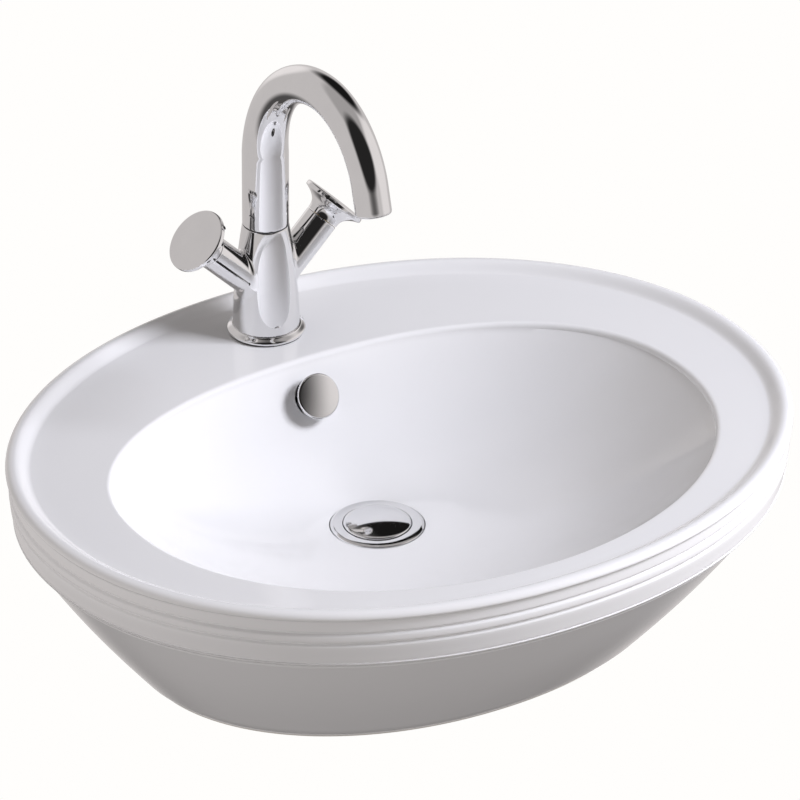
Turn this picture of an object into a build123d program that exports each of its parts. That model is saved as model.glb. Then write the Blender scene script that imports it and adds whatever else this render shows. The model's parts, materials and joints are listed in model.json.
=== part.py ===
from build123d import *
from math import atan, cos, hypot, pi, radians, sin
import os

# A white oval countertop basin with a two-handle swan-neck mixer, a slotted push-plug waste
# and a capped overflow. Millimetres. +Z is up, +X is to the right, -Y is the front.
# The origin is on the worktop, under the middle of the rim.

os.makedirs("parts", exist_ok=True)

# Clearances and small edges that many pieces share
running_gap = 0.3
seal_clearance = 0.2
thread_clearance = 0.05
ring_ease = 0.02
cut_over = 1.0
fine_bevel = 0.4
edge_bevel = 0.7

# Basin, outside
rim_half_width = 280.0
rim_half_depth = 232.0
rim_squareness = 2.07
basin_height = 153.0
foot_half_width = 190.5
foot_half_depth = 141.0
foot_centre_y = 4.4
body_bulge = 3.0
ceramic_wall = 10.0
lip_crest_inset = 6.0
lip_roll_height = 4.5
lip_under_drop = 7.0
lip_under_inset = 2.6
lip_soften = 0.8
ledge_inset = 15.5
ledge_drop = 6.0
upper_groove_drop = 17.0
lower_groove_drop = 25.0
groove_width = 2.6
groove_depth = 1.4
groove_lip = 0.3
band_foot_inset = 5.0
band_crown = 0.6
band_soften = 1.5
band_soften_height = 5.0
apron_drop = 43.0
apron_step = 3.0
deck_thickness = 10.0

# Basin, bowl
bowl_half_width = 217.0
bowl_centre_y = -18.0
bowl_front_reach = 177.0
bowl_back_reach = 147.0
bowl_back_squareness = 2.3
bowl_edge_round = 4.0
bowl_curve_power = 2.6
bowl_depth = 85.0
bowl_shell = 8.0

# Waste
drain_y = 31.0
flange_radius = 33.0
flange_thickness = 3.4
waste_tail_radius = 20.95
waste_tail_wall = 2.6
tail_relief_width = 2.0
tail_relief_depth = 0.8
waste_foot_gap = 3.0
waste_hole_radius = 22.5
waste_boss_radius = 36.0
waste_boss_height = 26.0
waste_slot_height = 9.0
waste_slot_width = 22.0
waste_seat_sink = 2.2
flange_bevel = 0.8
flange_round = 2.2
seat_cut_height = 20.0
duct_window_rise = 5.5
duct_window_height = 10.0
seal_thickness = 1.5
seal_inset = 1.5
bottom_seal_thickness = 4.0
bottom_seal_inset = 2.0
backnut_height = 9.0
backnut_radius = 31.0
plug_radius = 23.6
plug_gap = 0.5
plug_recess = 1.8
plug_dome_height = 2.2
plug_edge = 1.6
plug_travel = 7.0
plug_seal_width = 3.4
plug_seal_thickness = 1.2
plug_seal_gap = 0.05
stem_radius = 3.0
stem_collar_radius = 4.9
stem_collar_thickness = 1.5
cartridge_radius = 7.0
cartridge_bore = 5.2
cartridge_floor = 3.0
cartridge_height = 17.0
spring_room = 5.0
crossbar_thickness = 4.0
crossbar_width = 7.0
bar_bite = 0.5
spring_wire_radius = 0.45
spring_clearance = 0.05
spring_turns = 5
screw_radius = 2.0
screw_head_radius = 3.8
screw_head_height = 2.4
screw_end_gap = 0.5

# Overflow
overflow_drop = 31.0
overflow_hole_radius = 10.5
overflow_cap_radius = 16.0
overflow_cap_thickness = 3.0
overflow_cap_crown = 0.6
overflow_cap_standoff = 9.0
overflow_flange_radius = 14.5
overflow_flange_thickness = 1.6
overflow_sleeve_wall = 1.6
sleeve_clearance = 0.1
overflow_stem_radius = 3.2
overflow_seat_sink = 0.6
overflow_bar_width = 5.0
overflow_bar_thickness = 3.0
duct_depth = 11.0
duct_half_width = 16.0
duct_wall = 7.0
duct_bite = 2.0

# Tap
tap_y = 180.0
tap_hole_radius = 17.5
tap_boss_radius = 32.0
tap_boss_height = 5.0
base_seal_radius = 26.5
base_seal_thickness = 1.0
base_ring_radius = 27.5
base_ring_height = 4.6
base_ring_step = 2.4
base_ring_clearance = 0.1
body_foot_radius = 23.4
body_height = 78.5
body_taper_power = 1.7
spigot_radius = 16.6
spigot_length = 15.0
body_bore_radius = 12.6
body_bore_depth = 26.0
water_way_radius = 5.0
valve_way_radius = 2.5
inlet_way_radius = 2.0
inlet_radius = 4.5
inlet_spacing = 17.0
inlet_setback = 3.0
inlet_depth = 14.0
stud_radius = 3.0
stud_offset = 9.0
stud_length = 42.0
stud_engagement = 10.0
bracket_radius = 24.0
bracket_thickness = 2.5
bracket_seal_thickness = 3.0
bracket_slot_width = 30.0
bracket_slot_gap = 1.0
bracket_hole_gap = 0.2
bracket_seal_hole_gap = 0.4
nut_height = 11.0
nut_flats_radius = 6.2

# Spout
spout_radius = 16.3
outlet_radius = 12.7
spout_wall = 2.2
spout_taper_power = 2.8
riser_height = 56.0
rise_radius = 81.0
fall_radius = 61.0
fall_sweep = 75.0
outlet_run = 17.7
washer_thickness = 0.8
washer_inset = 0.2
spigot_clearance = 0.1
spout_spigot_length = 22.0
spigot_bore_radius = 9.5
throat_low = 1.0
throat_high = 4.0
o_ring_wire = 0.8
o_ring_low = 2.4
o_ring_room = 0.2
o_ring_spacing = 13.0
lock_drop = 14.0
lock_groove_height = 3.0
lock_groove_depth = 1.5
lock_screw_radius = 2.0
lock_tip_radius = 1.1
lock_screw_length = 3.9
lock_socket_depth = 2.0
aerator_radius = 11.6
aerator_length = 8.0
aerator_rim = 1.0
aerator_rim_inset = 0.2
aerator_wall = 1.2
aerator_clearance = 0.1
aerator_insert_length = 5.0
aerator_hole_radius = 0.9
aerator_outer_circle = 8.2
aerator_outer_holes = 16
aerator_inner_circle = 4.8
aerator_inner_holes = 9
aerator_seal_thickness = 1.2
aerator_seal_width = 2.6

# Valves and knobs, sizes along each arm measured from the tap's axis
arm_tilt = 45.0
arm_height = 30.0
arm_radius = 12.0
arm_length = 64.0
arm_bore_radius = 9.2
arm_bore_floor = 21.0
valve_clearance = 0.1
valve_seal_thickness = 1.5
valve_seal_inset = 0.6
valve_length = 34.0
valve_neck_radius = 6.6
valve_neck_length = 8.0
disc_radius = 6.8
disc_thickness = 2.5
disc_room = 0.2
disc_lift = 0.5
disc_gap = 0.05
disc_seat_width = 1.6
disc_port_radius = 1.8
disc_port_offset = 3.7
spindle_radius = 4.0
spindle_clearance = 0.08
spindle_foot_radius = 6.4
spindle_foot_thickness = 2.0
spindle_seal_section = 0.55
spindle_seal_room = 0.1
spindle_seal_setback = 4.0
knob_radius = 23.2
knob_rim = 3.6
knob_flare = 12.0
knob_flare_power = 3.0
knob_crown = 0.6
knob_seam = 0.4
knob_shell = 2.2
bush_radius = 6.2
bush_length = 9.0
bush_gap = 0.7
grub_radius = 1.6
grub_length = 5.0
grub_socket_radius = 0.95
index_pin_radius = 1.5
index_pin_stand = 0.9
index_pin_turn = 53.0
index_pin_gap = 0.02

# Heights that follow from the sizes above
ledge_z = basin_height - ledge_drop
floor_z = basin_height - ledge_drop - bowl_depth
seat_z = floor_z - waste_seat_sink
flange_top_z = seat_z + seal_thickness + flange_thickness
boss_foot_z = seat_z - waste_boss_height
body_foot_z = ledge_z + base_seal_thickness + base_ring_height
body_top_z = body_foot_z + body_height
spout_foot_z = body_top_z + washer_thickness + spigot_clearance
arch_z = spout_foot_z + riser_height


# Ovals and rings

ring_points = 32

def signed_power(value, power):
    return (1 if value >= 0 else -1) * abs(value) ** power


def oval(half_width, front, back, centre_y, front_power, back_power):
    """Points of a closed oval with its own front and back reach, from the right end round."""
    points = []
    for index in range(ring_points):
        angle = 2 * pi * index / ring_points
        power = back_power if sin(angle) > 0 else front_power
        reach = back if sin(angle) > 0 else front
        x = half_width * signed_power(cos(angle), 2 / power)
        y = centre_y + reach * signed_power(sin(angle), 2 / power)
        points.append((x, y))
    return points


def rim_oval(inset):
    half_depth = rim_half_depth - inset
    return oval(rim_half_width - inset, half_depth, half_depth, 0, rim_squareness, rim_squareness)


def body_oval(height, inset):
    """Outline of the tapered body at a height, drawn in by an inset."""
    top_z = basin_height - apron_drop
    top_inset = band_foot_inset + apron_step
    share = min(height / top_z, 1.0)
    bulge = body_bulge * sin(pi * share) - inset
    half_width = foot_half_width + (rim_half_width - top_inset - foot_half_width) * share + bulge
    half_depth = foot_half_depth + (rim_half_depth - top_inset - foot_half_depth) * share + bulge
    centre_y = foot_centre_y * (1 - share)
    return oval(half_width, half_depth, half_depth, centre_y, rim_squareness, rim_squareness)


def bowl_oval(share, spread):
    """The bowl's outline, shrunk towards the drain by a share and moved out by a spread."""
    points = []
    edge = oval(bowl_half_width, bowl_front_reach, bowl_back_reach, bowl_centre_y, 2.0, bowl_back_squareness)
    for x, y in edge:
        reach = hypot(x, y - drain_y)
        scale = share + spread / reach
        points.append((x * scale, drain_y + (y - drain_y) * scale))
    return points


def bowl_height(share):
    return floor_z + (bowl_depth - bowl_edge_round) * share ** bowl_curve_power


def back_wall(share, outward):
    """A point on the middle of the bowl's back wall, (y, z), moved out along its normal."""
    back_span = bowl_centre_y + bowl_back_reach - drain_y
    slope = (bowl_depth - bowl_edge_round) * bowl_curve_power * share ** (bowl_curve_power - 1) / back_span
    lean = atan(slope)
    y = drain_y + back_span * share + outward * sin(lean)
    return y, bowl_height(share) - outward * cos(lean)


def ring(points, height):
    """A flat face inside a closed smooth outline, at a height."""
    with BuildSketch(Plane.XY.offset(height)) as face:
        with BuildLine():
            Spline(*points, periodic=True)
        make_face()
    return face.sketch


def turned(outline, plane, mode=Mode.ADD):
    """Turn a closed outline, given as (radius, distance along the axis), about the plane's Y axis."""
    with BuildSketch(plane) as profile:
        with BuildLine():
            Polyline(*outline, close=True)
        make_face()
    revolve(profile.sketch, axis=Axis(plane.origin, plane.y_dir), mode=mode)


def ring_outline(inner, outer, low, high):
    return [(inner, low), (outer, low), (outer, high), (inner, high)]


def dome(radius, low, rise):
    """Points of a shallow dome with a small flat middle, from its edge inwards."""
    points = [(radius * share, low + rise * (1 - share**2)) for share in (1.0, 0.75, 0.5, 0.25)]
    return points + [(0, points[-1][1])]


def taper(first_radius, last_radius, start, length, power):
    """Points of a curved taper along an axis, from one radius to another."""
    points = []
    for share in (0.0, 0.25, 0.5, 0.75, 1.0):
        radius = first_radius + (last_radius - first_radius) * share**power
        points.append((radius, start + length * share))
    return points


def upright(y):
    """A plane for turning about a vertical axis at this y: local X is the radius, local Y is height."""
    return Plane(origin=(0, y, 0), x_dir=(1, 0, 0), z_dir=(0, -1, 0))


def save(builder, name):
    builder.part.label = name
    export_step(builder.part, "parts/" + name + ".step")


# Basin

outer_rings = []
for step in range(6):
    body_z = (basin_height - apron_drop) * step / 5
    outer_rings.append((body_oval(body_z, 0), body_z))
half_groove = groove_width / 2
band_profile = [
    (band_foot_inset, apron_drop - band_soften),
    (band_foot_inset - band_crown, apron_drop - band_soften_height),
    (lip_under_inset + 2 * groove_lip, lower_groove_drop + half_groove),
    (lip_under_inset + groove_depth, lower_groove_drop),
    (lip_under_inset + groove_lip, lower_groove_drop - half_groove),
    (lip_under_inset, (lower_groove_drop + upper_groove_drop) / 2),
    (lip_under_inset + groove_lip, upper_groove_drop + half_groove),
    (lip_under_inset + groove_depth, upper_groove_drop),
    (lip_under_inset + groove_lip, upper_groove_drop - half_groove),
    (lip_under_inset, lip_under_drop + lip_soften),
    (lip_under_inset - lip_soften, lip_under_drop - lip_soften / 2),
]
for angle in (0, 30, 60, 90):
    roll_inset = lip_crest_inset * (1 - cos(radians(angle)))
    roll_drop = lip_roll_height * (1 - sin(radians(angle)))
    band_profile.append((roll_inset, roll_drop))
for inset, drop in band_profile:
    outer_rings.append((rim_oval(inset), basin_height - drop))

cavity_top_z = ledge_z - deck_thickness
overflow_rise = basin_height - overflow_drop - floor_z
overflow_share = (overflow_rise / (bowl_depth - bowl_edge_round)) ** (1 / bowl_curve_power)
overflow_y, overflow_z = back_wall(overflow_share, 0)
overflow_in_y, overflow_in_z = back_wall(overflow_share, 1)
overflow_out = Vector(0, overflow_y - overflow_in_y, overflow_z - overflow_in_z)
overflow_plane = Plane(origin=(0, overflow_y, overflow_z), x_dir=(1, 0, 0), z_dir=overflow_out)
overflow_turn = Plane(origin=overflow_plane.origin, x_dir=(1, 0, 0), z_dir=-overflow_plane.y_dir)

duct_shares = [1.02, 0.97, 0.9, 0.82, 0.72, 0.6]
duct_low_z = boss_foot_z + duct_window_rise
duct_high_z = duct_low_z + duct_window_height
duct_mouth_y = drain_y + waste_hole_radius - duct_bite
duct_bend_y = drain_y + waste_boss_radius - duct_wall
duct_outline = [back_wall(share, bowl_shell) for share in duct_shares]
duct_outline += [(duct_bend_y, duct_high_z), (duct_mouth_y, duct_high_z)]
duct_outline += [(duct_mouth_y, duct_low_z), (duct_bend_y + duct_wall / 2, duct_low_z)]
duct_outline += [back_wall(share, bowl_shell + duct_depth) for share in reversed(duct_shares)]
casing_outline = [back_wall(share, bowl_shell / 2) for share in duct_shares]
casing_outline += [(duct_bend_y, duct_high_z + duct_wall), (duct_bend_y, boss_foot_z)]
casing_outline += [(duct_bend_y + duct_wall, boss_foot_z)]
casing_outline += [back_wall(share, bowl_shell + duct_depth + duct_wall) for share in reversed(duct_shares)]
bowl_shares = [1.0, 0.96, 0.9, 0.82, 0.72, 0.6, 0.45, 0.3, 0.16]

with BuildPart() as basin:
    loft(sections=[ring(points, height) for points, height in outer_rings], ruled=True)

    # the hollow underneath, open at the foot
    hollow_rings = [ring(body_oval(0, ceramic_wall), -cut_over)]
    for share in (0.0, 0.25, 0.5, 0.75, 1.0):
        height = (basin_height - apron_drop) * share
        hollow_rings.append(ring(body_oval(height, ceramic_wall), height))
    hollow_rings.append(ring(rim_oval(lip_under_inset + groove_depth + ceramic_wall), cavity_top_z))
    loft(sections=hollow_rings, ruled=True, mode=Mode.SUBTRACT)

    # the bowl's shell, hanging in the hollow
    shell_rings = []
    for share in bowl_shares:
        shell_rings.append(ring(bowl_oval(share, bowl_shell), bowl_height(share) - bowl_shell))
    shell_collar = ring(bowl_oval(1.0, bowl_shell), ledge_z - cut_over)
    loft(sections=[shell_collar, shell_rings[0]], ruled=True)
    loft(sections=shell_rings)

    # bosses at the drain and under the tap
    with BuildSketch(Plane.XY.offset(boss_foot_z)):
        with Locations((0, drain_y)):
            Circle(waste_boss_radius)
    extrude(amount=waste_boss_height - flange_thickness)
    with BuildSketch(Plane.XY.offset(cavity_top_z - tap_boss_height)):
        with Locations((0, tap_y)):
            Circle(tap_boss_radius)
    extrude(amount=tap_boss_height + deck_thickness / 2)

    # casing of the overflow duct on the back of the bowl
    with BuildSketch(Plane.YZ):
        with BuildLine():
            Polyline(*casing_outline, close=True)
        make_face()
    extrude(amount=duct_half_width + duct_wall, both=True)

    # the ledge inside the lip
    ledge_rings = []
    for share in (0.0, 0.25, 0.5, 0.75, 1.0):
        inset = ledge_inset - (ledge_inset - lip_crest_inset) * share
        ledge_rings.append(ring(rim_oval(inset), ledge_z + ledge_drop * sin(pi / 2 * share)))
    loft(sections=ledge_rings, ruled=True, mode=Mode.SUBTRACT)

    # the bowl, with its rounded edge
    edge_rings = [ring(bowl_oval(1.0, bowl_edge_round), ledge_z + cut_over)]
    for angle in (0, 30, 60, 90):
        spread = bowl_edge_round * (1 - sin(radians(angle)))
        drop = bowl_edge_round * (1 - cos(radians(angle)))
        edge_rings.append(ring(bowl_oval(1.0, spread), ledge_z - drop))
    loft(sections=edge_rings, ruled=True, mode=Mode.SUBTRACT)
    bowl_rings = [ring(bowl_oval(share, 0.0), bowl_height(share)) for share in bowl_shares]
    loft(sections=bowl_rings, mode=Mode.SUBTRACT)

    # the overflow duct, down to the waste hole
    with BuildSketch(Plane.YZ):
        with BuildLine():
            Polyline(*duct_outline, close=True)
        make_face()
    extrude(amount=duct_half_width, both=True, mode=Mode.SUBTRACT)

    # overflow hole, waste hole with its seat, tap hole
    with BuildSketch(overflow_plane.offset(-bowl_shell - duct_depth / 2)):
        Circle(overflow_hole_radius)
    extrude(amount=bowl_shell + duct_depth, mode=Mode.SUBTRACT)
    with BuildSketch(overflow_plane.offset(-overflow_seat_sink)):
        Circle(overflow_flange_radius + running_gap)
    extrude(amount=overflow_cap_standoff, mode=Mode.SUBTRACT)
    with BuildSketch(Plane.XY.offset(boss_foot_z)):
        with Locations((0, drain_y)):
            Circle(waste_hole_radius)
    extrude(amount=waste_boss_height + seat_cut_height, mode=Mode.SUBTRACT)
    with BuildSketch(Plane.XY.offset(seat_z)):
        with Locations((0, drain_y)):
            Circle(flange_radius + plug_gap)
    extrude(amount=seat_cut_height, mode=Mode.SUBTRACT)
    with BuildSketch(Plane.XY.offset(cavity_top_z - tap_boss_height)):
        with Locations((0, tap_y)):
            Circle(tap_hole_radius)
    extrude(amount=tap_boss_height + deck_thickness, mode=Mode.SUBTRACT)
save(basin, "basin")


# Overflow trim, turned about the hole's axis, distances from the bowl's wall

sleeve_radius = overflow_hole_radius - sleeve_clearance
sleeve_bore = sleeve_radius - overflow_sleeve_wall
sleeve_foot = -bowl_shell - overflow_bar_thickness
with BuildPart() as overflow_sleeve:
    sleeve_outline = [
        (sleeve_bore, sleeve_foot),
        (sleeve_radius, sleeve_foot),
        (sleeve_radius, -overflow_seat_sink),
        (overflow_flange_radius, -overflow_seat_sink),
        (overflow_flange_radius - edge_bevel, overflow_flange_thickness - overflow_seat_sink),
        (sleeve_bore, overflow_flange_thickness - overflow_seat_sink),
    ]
    turned(sleeve_outline, overflow_turn)
    with BuildSketch(overflow_plane.offset(sleeve_foot)):
        Rectangle(2 * (sleeve_bore + bar_bite), overflow_bar_width)
    extrude(amount=overflow_bar_thickness)
save(overflow_sleeve, "overflow_sleeve")

cap_low = overflow_cap_standoff
cap_high = overflow_cap_standoff + overflow_cap_thickness
with BuildPart() as overflow_cap:
    cap_outline = [
        (0, sleeve_foot + overflow_bar_thickness),
        (overflow_stem_radius, sleeve_foot + overflow_bar_thickness),
        (overflow_stem_radius, cap_low),
        (overflow_cap_radius - edge_bevel, cap_low),
        (overflow_cap_radius, cap_low + edge_bevel),
        (overflow_cap_radius, cap_high - overflow_cap_crown - edge_bevel),
    ]
    cap_outline += dome(overflow_cap_radius - edge_bevel, cap_high - overflow_cap_crown, overflow_cap_crown)
    turned(cap_outline, overflow_turn)
save(overflow_cap, "overflow_cap")


# Waste, on the drain's axis

drain = upright(drain_y)
tail_bore = waste_tail_radius - waste_tail_wall
flange_foot_z = seat_z + seal_thickness
recess_z = flange_top_z - plug_recess
recess_radius = plug_radius + plug_gap
crossbar_z = duct_low_z - crossbar_thickness
backnut_z = boss_foot_z - bottom_seal_thickness - backnut_height
relief_radius = waste_tail_radius - tail_relief_depth
with BuildPart() as waste_body:
    waste_outline = [
        (tail_bore, waste_foot_gap),
        (waste_tail_radius, waste_foot_gap),
        (waste_tail_radius, backnut_z - tail_relief_width),
        (relief_radius, backnut_z - tail_relief_width),
        (relief_radius, backnut_z),
        (waste_tail_radius, backnut_z),
        (waste_tail_radius, flange_foot_z),
        (flange_radius - flange_bevel, flange_foot_z),
        (flange_radius, flange_foot_z + flange_bevel),
        (flange_radius - fine_bevel, flange_top_z - flange_bevel),
        (flange_radius - flange_round, flange_top_z),
        (recess_radius, flange_top_z),
        (recess_radius, recess_z),
        (tail_bore, recess_z),
    ]
    turned(waste_outline, drain)
    with BuildSketch(Plane.XY.offset(crossbar_z)):
        with Locations((0, drain_y)):
            Rectangle(2 * (tail_bore + bar_bite), crossbar_width)
            Circle(cartridge_radius)
    extrude(amount=crossbar_thickness)
    with BuildSketch(Plane.XY.offset(crossbar_z)):
        with Locations((0, drain_y)):
            Circle(screw_radius)
    extrude(amount=crossbar_thickness, mode=Mode.SUBTRACT)
    with BuildSketch(Plane.XY.offset(duct_low_z)):
        with Locations((0, drain_y)):
            Rectangle(waste_slot_width, 3 * waste_tail_radius)
    extrude(amount=waste_slot_height, mode=Mode.SUBTRACT)
save(waste_body, "waste_body")

with BuildPart() as waste_top_seal:
    seal_reach = flange_radius - seal_inset
    turned(ring_outline(waste_tail_radius + seal_clearance, seal_reach, seat_z, flange_foot_z), drain)
save(waste_top_seal, "waste_top_seal")

bottom_seal_z = boss_foot_z - bottom_seal_thickness
with BuildPart() as waste_bottom_seal:
    bottom_seal_outline = [
        (waste_tail_radius + seal_clearance, bottom_seal_z),
        (backnut_radius - bottom_seal_inset, bottom_seal_z),
        (waste_boss_radius - bottom_seal_inset, boss_foot_z),
        (waste_tail_radius + seal_clearance, boss_foot_z),
    ]
    turned(bottom_seal_outline, drain)
save(waste_bottom_seal, "waste_bottom_seal")

with BuildPart() as waste_backnut:
    with BuildSketch(Plane.XY.offset(backnut_z)):
        with Locations((0, drain_y)):
            RegularPolygon(backnut_radius, 8)
            Circle(waste_tail_radius, mode=Mode.SUBTRACT)
    extrude(amount=backnut_height)
save(waste_backnut, "waste_backnut")

cap_foot_z = recess_z + plug_seal_thickness
cap_edge_z = cap_foot_z + plug_edge
with BuildPart() as plug_cap:
    plug_outline = [
        (0, cap_foot_z),
        (plug_radius - fine_bevel, cap_foot_z),
        (plug_radius, cap_foot_z + fine_bevel),
        (plug_radius, cap_edge_z - edge_bevel),
    ]
    plug_outline += dome(plug_radius - edge_bevel, cap_edge_z, plug_dome_height)
    turned(plug_outline, drain)
save(plug_cap, "plug_cap")

seal_outer = recess_radius - plug_gap - running_gap
with BuildPart() as plug_seal:
    seal_foot_z = recess_z + plug_seal_gap
    turned(ring_outline(seal_outer - plug_seal_width, seal_outer, seal_foot_z, cap_foot_z), drain)
save(plug_seal, "plug_seal")

cartridge_floor_z = duct_low_z + cartridge_floor
collar_z = cartridge_floor_z + spring_room
with BuildPart() as plug_stem:
    stem_outline = [
        (0, cartridge_floor_z + running_gap),
        (stem_radius, cartridge_floor_z + running_gap),
        (stem_radius, collar_z),
        (stem_collar_radius, collar_z),
        (stem_collar_radius, collar_z + stem_collar_thickness),
        (stem_radius, collar_z + stem_collar_thickness),
        (stem_radius, cap_foot_z),
        (0, cap_foot_z),
    ]
    turned(stem_outline, drain)
save(plug_stem, "plug_stem")

with BuildPart() as click_cartridge:
    cartridge_outline = [
        (screw_radius, duct_low_z),
        (cartridge_radius, duct_low_z),
        (cartridge_radius, duct_low_z + cartridge_height),
        (cartridge_bore, duct_low_z + cartridge_height),
        (cartridge_bore, cartridge_floor_z),
        (screw_radius, cartridge_floor_z),
    ]
    turned(cartridge_outline, drain)
save(click_cartridge, "click_cartridge")

with BuildPart() as cartridge_screw:
    screw_outline = [
        (0, crossbar_z - screw_head_height),
        (screw_head_radius, crossbar_z - screw_head_height),
        (screw_head_radius, crossbar_z),
        (screw_radius, crossbar_z),
        (screw_radius, cartridge_floor_z - screw_end_gap),
        (0, cartridge_floor_z - screw_end_gap),
    ]
    turned(screw_outline, drain)
save(cartridge_screw, "cartridge_screw")

spring_radius = (stem_radius + cartridge_bore) / 2
spring_height = spring_room - 2 * spring_wire_radius
with BuildPart() as plug_spring:
    spring_foot = (0, drain_y, cartridge_floor_z + spring_wire_radius)
    with BuildLine():
        coil = Helix(spring_height / spring_turns, spring_height, spring_radius, center=spring_foot)
    with BuildSketch(Plane(origin=coil @ 0, z_dir=coil % 0)):
        Circle(spring_wire_radius - spring_clearance)
    sweep(path=coil)
save(plug_spring, "plug_spring")


# Tap body and what holds it down

tap = upright(tap_y)
arm_z = ledge_z + arm_height
spigot_foot_z = body_foot_z - spigot_length
bore_floor_z = body_top_z - body_bore_depth
lock_z = body_top_z - lock_drop
inlet_y = tap_y + inlet_setback
stud_y = tap_y - stud_offset


def arm_plane(sign, along):
    """A plane square to an arm, a distance along it from the tap's axis."""
    lean = radians(arm_tilt)
    direction = Vector(sign * sin(lean), 0, cos(lean))
    origin = Vector(0, tap_y, arm_z) + direction * along
    return Plane(origin=origin, x_dir=(0, 1, 0), z_dir=direction)


def arm_turn(sign):
    """A plane for turning about an arm's axis: local X is the radius, to the front, local Y the arm."""
    lean = radians(arm_tilt)
    direction = Vector(sign * sin(lean), 0, cos(lean))
    front = Vector(0, -1, 0)
    return Plane(origin=(0, tap_y, arm_z), x_dir=front, z_dir=front.cross(direction))


with BuildPart() as tap_body:
    with BuildSketch(tap):
        with BuildLine():
            body_taper = taper(body_foot_radius, spout_radius, body_foot_z, body_height, body_taper_power)
            flare = Spline(*body_taper)
            Polyline(flare @ 1, (0, body_top_z), (0, body_foot_z), flare @ 0)
        make_face()
    revolve(axis=Axis(tap.origin, tap.y_dir))
    with BuildSketch(Plane.XY.offset(spigot_foot_z)):
        with Locations((0, tap_y)):
            Circle(spigot_radius)
    extrude(amount=spigot_length)
    for sign in (-1, 1):
        with BuildSketch(arm_plane(sign, 0)):
            Circle(arm_radius)
        extrude(amount=arm_length)
    # socket for the spout, mixing chamber, and the two valve sockets
    with BuildSketch(Plane.XY.offset(bore_floor_z)):
        with Locations((0, tap_y)):
            Circle(body_bore_radius)
    extrude(amount=body_bore_depth, mode=Mode.SUBTRACT)
    with BuildSketch(Plane.XY.offset(arm_z)):
        with Locations((0, tap_y)):
            Circle(water_way_radius)
    extrude(amount=bore_floor_z - arm_z, mode=Mode.SUBTRACT)
    for sign in (-1, 1):
        with BuildSketch(arm_plane(sign, 0)):
            Circle(valve_way_radius)
        extrude(amount=arm_bore_floor, mode=Mode.SUBTRACT)
        with BuildSketch(arm_plane(sign, arm_bore_floor)):
            Circle(arm_bore_radius)
        extrude(amount=arm_length - arm_bore_floor, mode=Mode.SUBTRACT)
    # threaded inlets with the ways up to the valves
    with BuildSketch(Plane.XY.offset(spigot_foot_z)):
        with Locations((-inlet_spacing / 2, inlet_y), (inlet_spacing / 2, inlet_y)):
            Circle(inlet_radius)
    extrude(amount=inlet_depth, mode=Mode.SUBTRACT)
    way_x = inlet_spacing / 2 + inlet_radius / 2
    way_top_z = arm_z + arm_bore_floor / cos(radians(arm_tilt)) - way_x
    with BuildSketch(Plane.XY.offset(spigot_foot_z + inlet_depth)):
        with Locations((-way_x, inlet_y), (way_x, inlet_y)):
            Circle(inlet_way_radius)
    extrude(amount=way_top_z - spigot_foot_z - inlet_depth, mode=Mode.SUBTRACT)
    # threaded holes for the stud and the lock screw
    with BuildSketch(Plane.XY.offset(spigot_foot_z)):
        with Locations((0, stud_y)):
            Circle(stud_radius)
    extrude(amount=stud_engagement, mode=Mode.SUBTRACT)
    with BuildSketch(Plane.XZ.offset(cut_over - tap_y - body_bore_radius)):
        with Locations((0, lock_z)):
            Circle(lock_screw_radius)
    extrude(amount=-spout_radius, mode=Mode.SUBTRACT)
save(tap_body, "tap_body")

ring_foot_z = ledge_z + base_seal_thickness
with BuildPart() as tap_base_ring:
    base_ring_outline = [
        (spigot_radius + base_ring_clearance, ring_foot_z),
        (base_ring_radius - fine_bevel, ring_foot_z),
        (base_ring_radius, ring_foot_z + fine_bevel),
        (base_ring_radius, ring_foot_z + base_ring_step - edge_bevel),
        (base_ring_radius - edge_bevel, ring_foot_z + base_ring_step),
        (body_foot_radius + 2 * fine_bevel, body_foot_z - fine_bevel),
        (body_foot_radius + fine_bevel, body_foot_z),
        (spigot_radius + base_ring_clearance, body_foot_z),
    ]
    turned(base_ring_outline, tap)
save(tap_base_ring, "tap_base_ring")

with BuildPart() as tap_base_seal:
    turned(ring_outline(spigot_radius + running_gap, base_seal_radius, ledge_z, ring_foot_z), tap)
save(tap_base_seal, "tap_base_seal")

stud_top_z = spigot_foot_z + stud_engagement
with BuildPart() as tap_stud:
    with BuildSketch(Plane.XY.offset(stud_top_z - stud_length)):
        with Locations((0, stud_y)):
            Circle(stud_radius)
    extrude(amount=stud_length)
save(tap_stud, "tap_stud")


def horseshoe(low_z, thickness, hole_radius):
    """A round plate on the stud, slotted towards the back for the supply connections."""
    with BuildPart() as plate:
        with BuildSketch(Plane.XY.offset(low_z)):
            with Locations((0, tap_y)):
                Circle(bracket_radius)
            with Locations((0, inlet_y - inlet_radius - bracket_slot_gap + bracket_radius)):
                Rectangle(bracket_slot_width, 2 * bracket_radius, mode=Mode.SUBTRACT)
            with Locations((0, stud_y)):
                Circle(hole_radius, mode=Mode.SUBTRACT)
        extrude(amount=thickness)
    return plate


deck_foot_z = cavity_top_z - tap_boss_height
bracket_seal_z = deck_foot_z - bracket_seal_thickness
bracket_seal = horseshoe(bracket_seal_z, bracket_seal_thickness, stud_radius + bracket_seal_hole_gap)
save(bracket_seal, "bracket_seal")
bracket_z = bracket_seal_z - bracket_thickness
fixing_bracket = horseshoe(bracket_z, bracket_thickness, stud_radius + bracket_hole_gap)
save(fixing_bracket, "fixing_bracket")

with BuildPart() as fixing_nut:
    with BuildSketch(Plane.XY.offset(bracket_z - nut_height)):
        with Locations((0, stud_y)):
            RegularPolygon(nut_flats_radius, 6)
            Circle(stud_radius, mode=Mode.SUBTRACT)
    extrude(amount=nut_height)
save(fixing_nut, "fixing_nut")


# Spout

rise_length = radians(90) * rise_radius
fall_length = radians(fall_sweep) * fall_radius
arch_length = rise_length + fall_length + outlet_run


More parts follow.
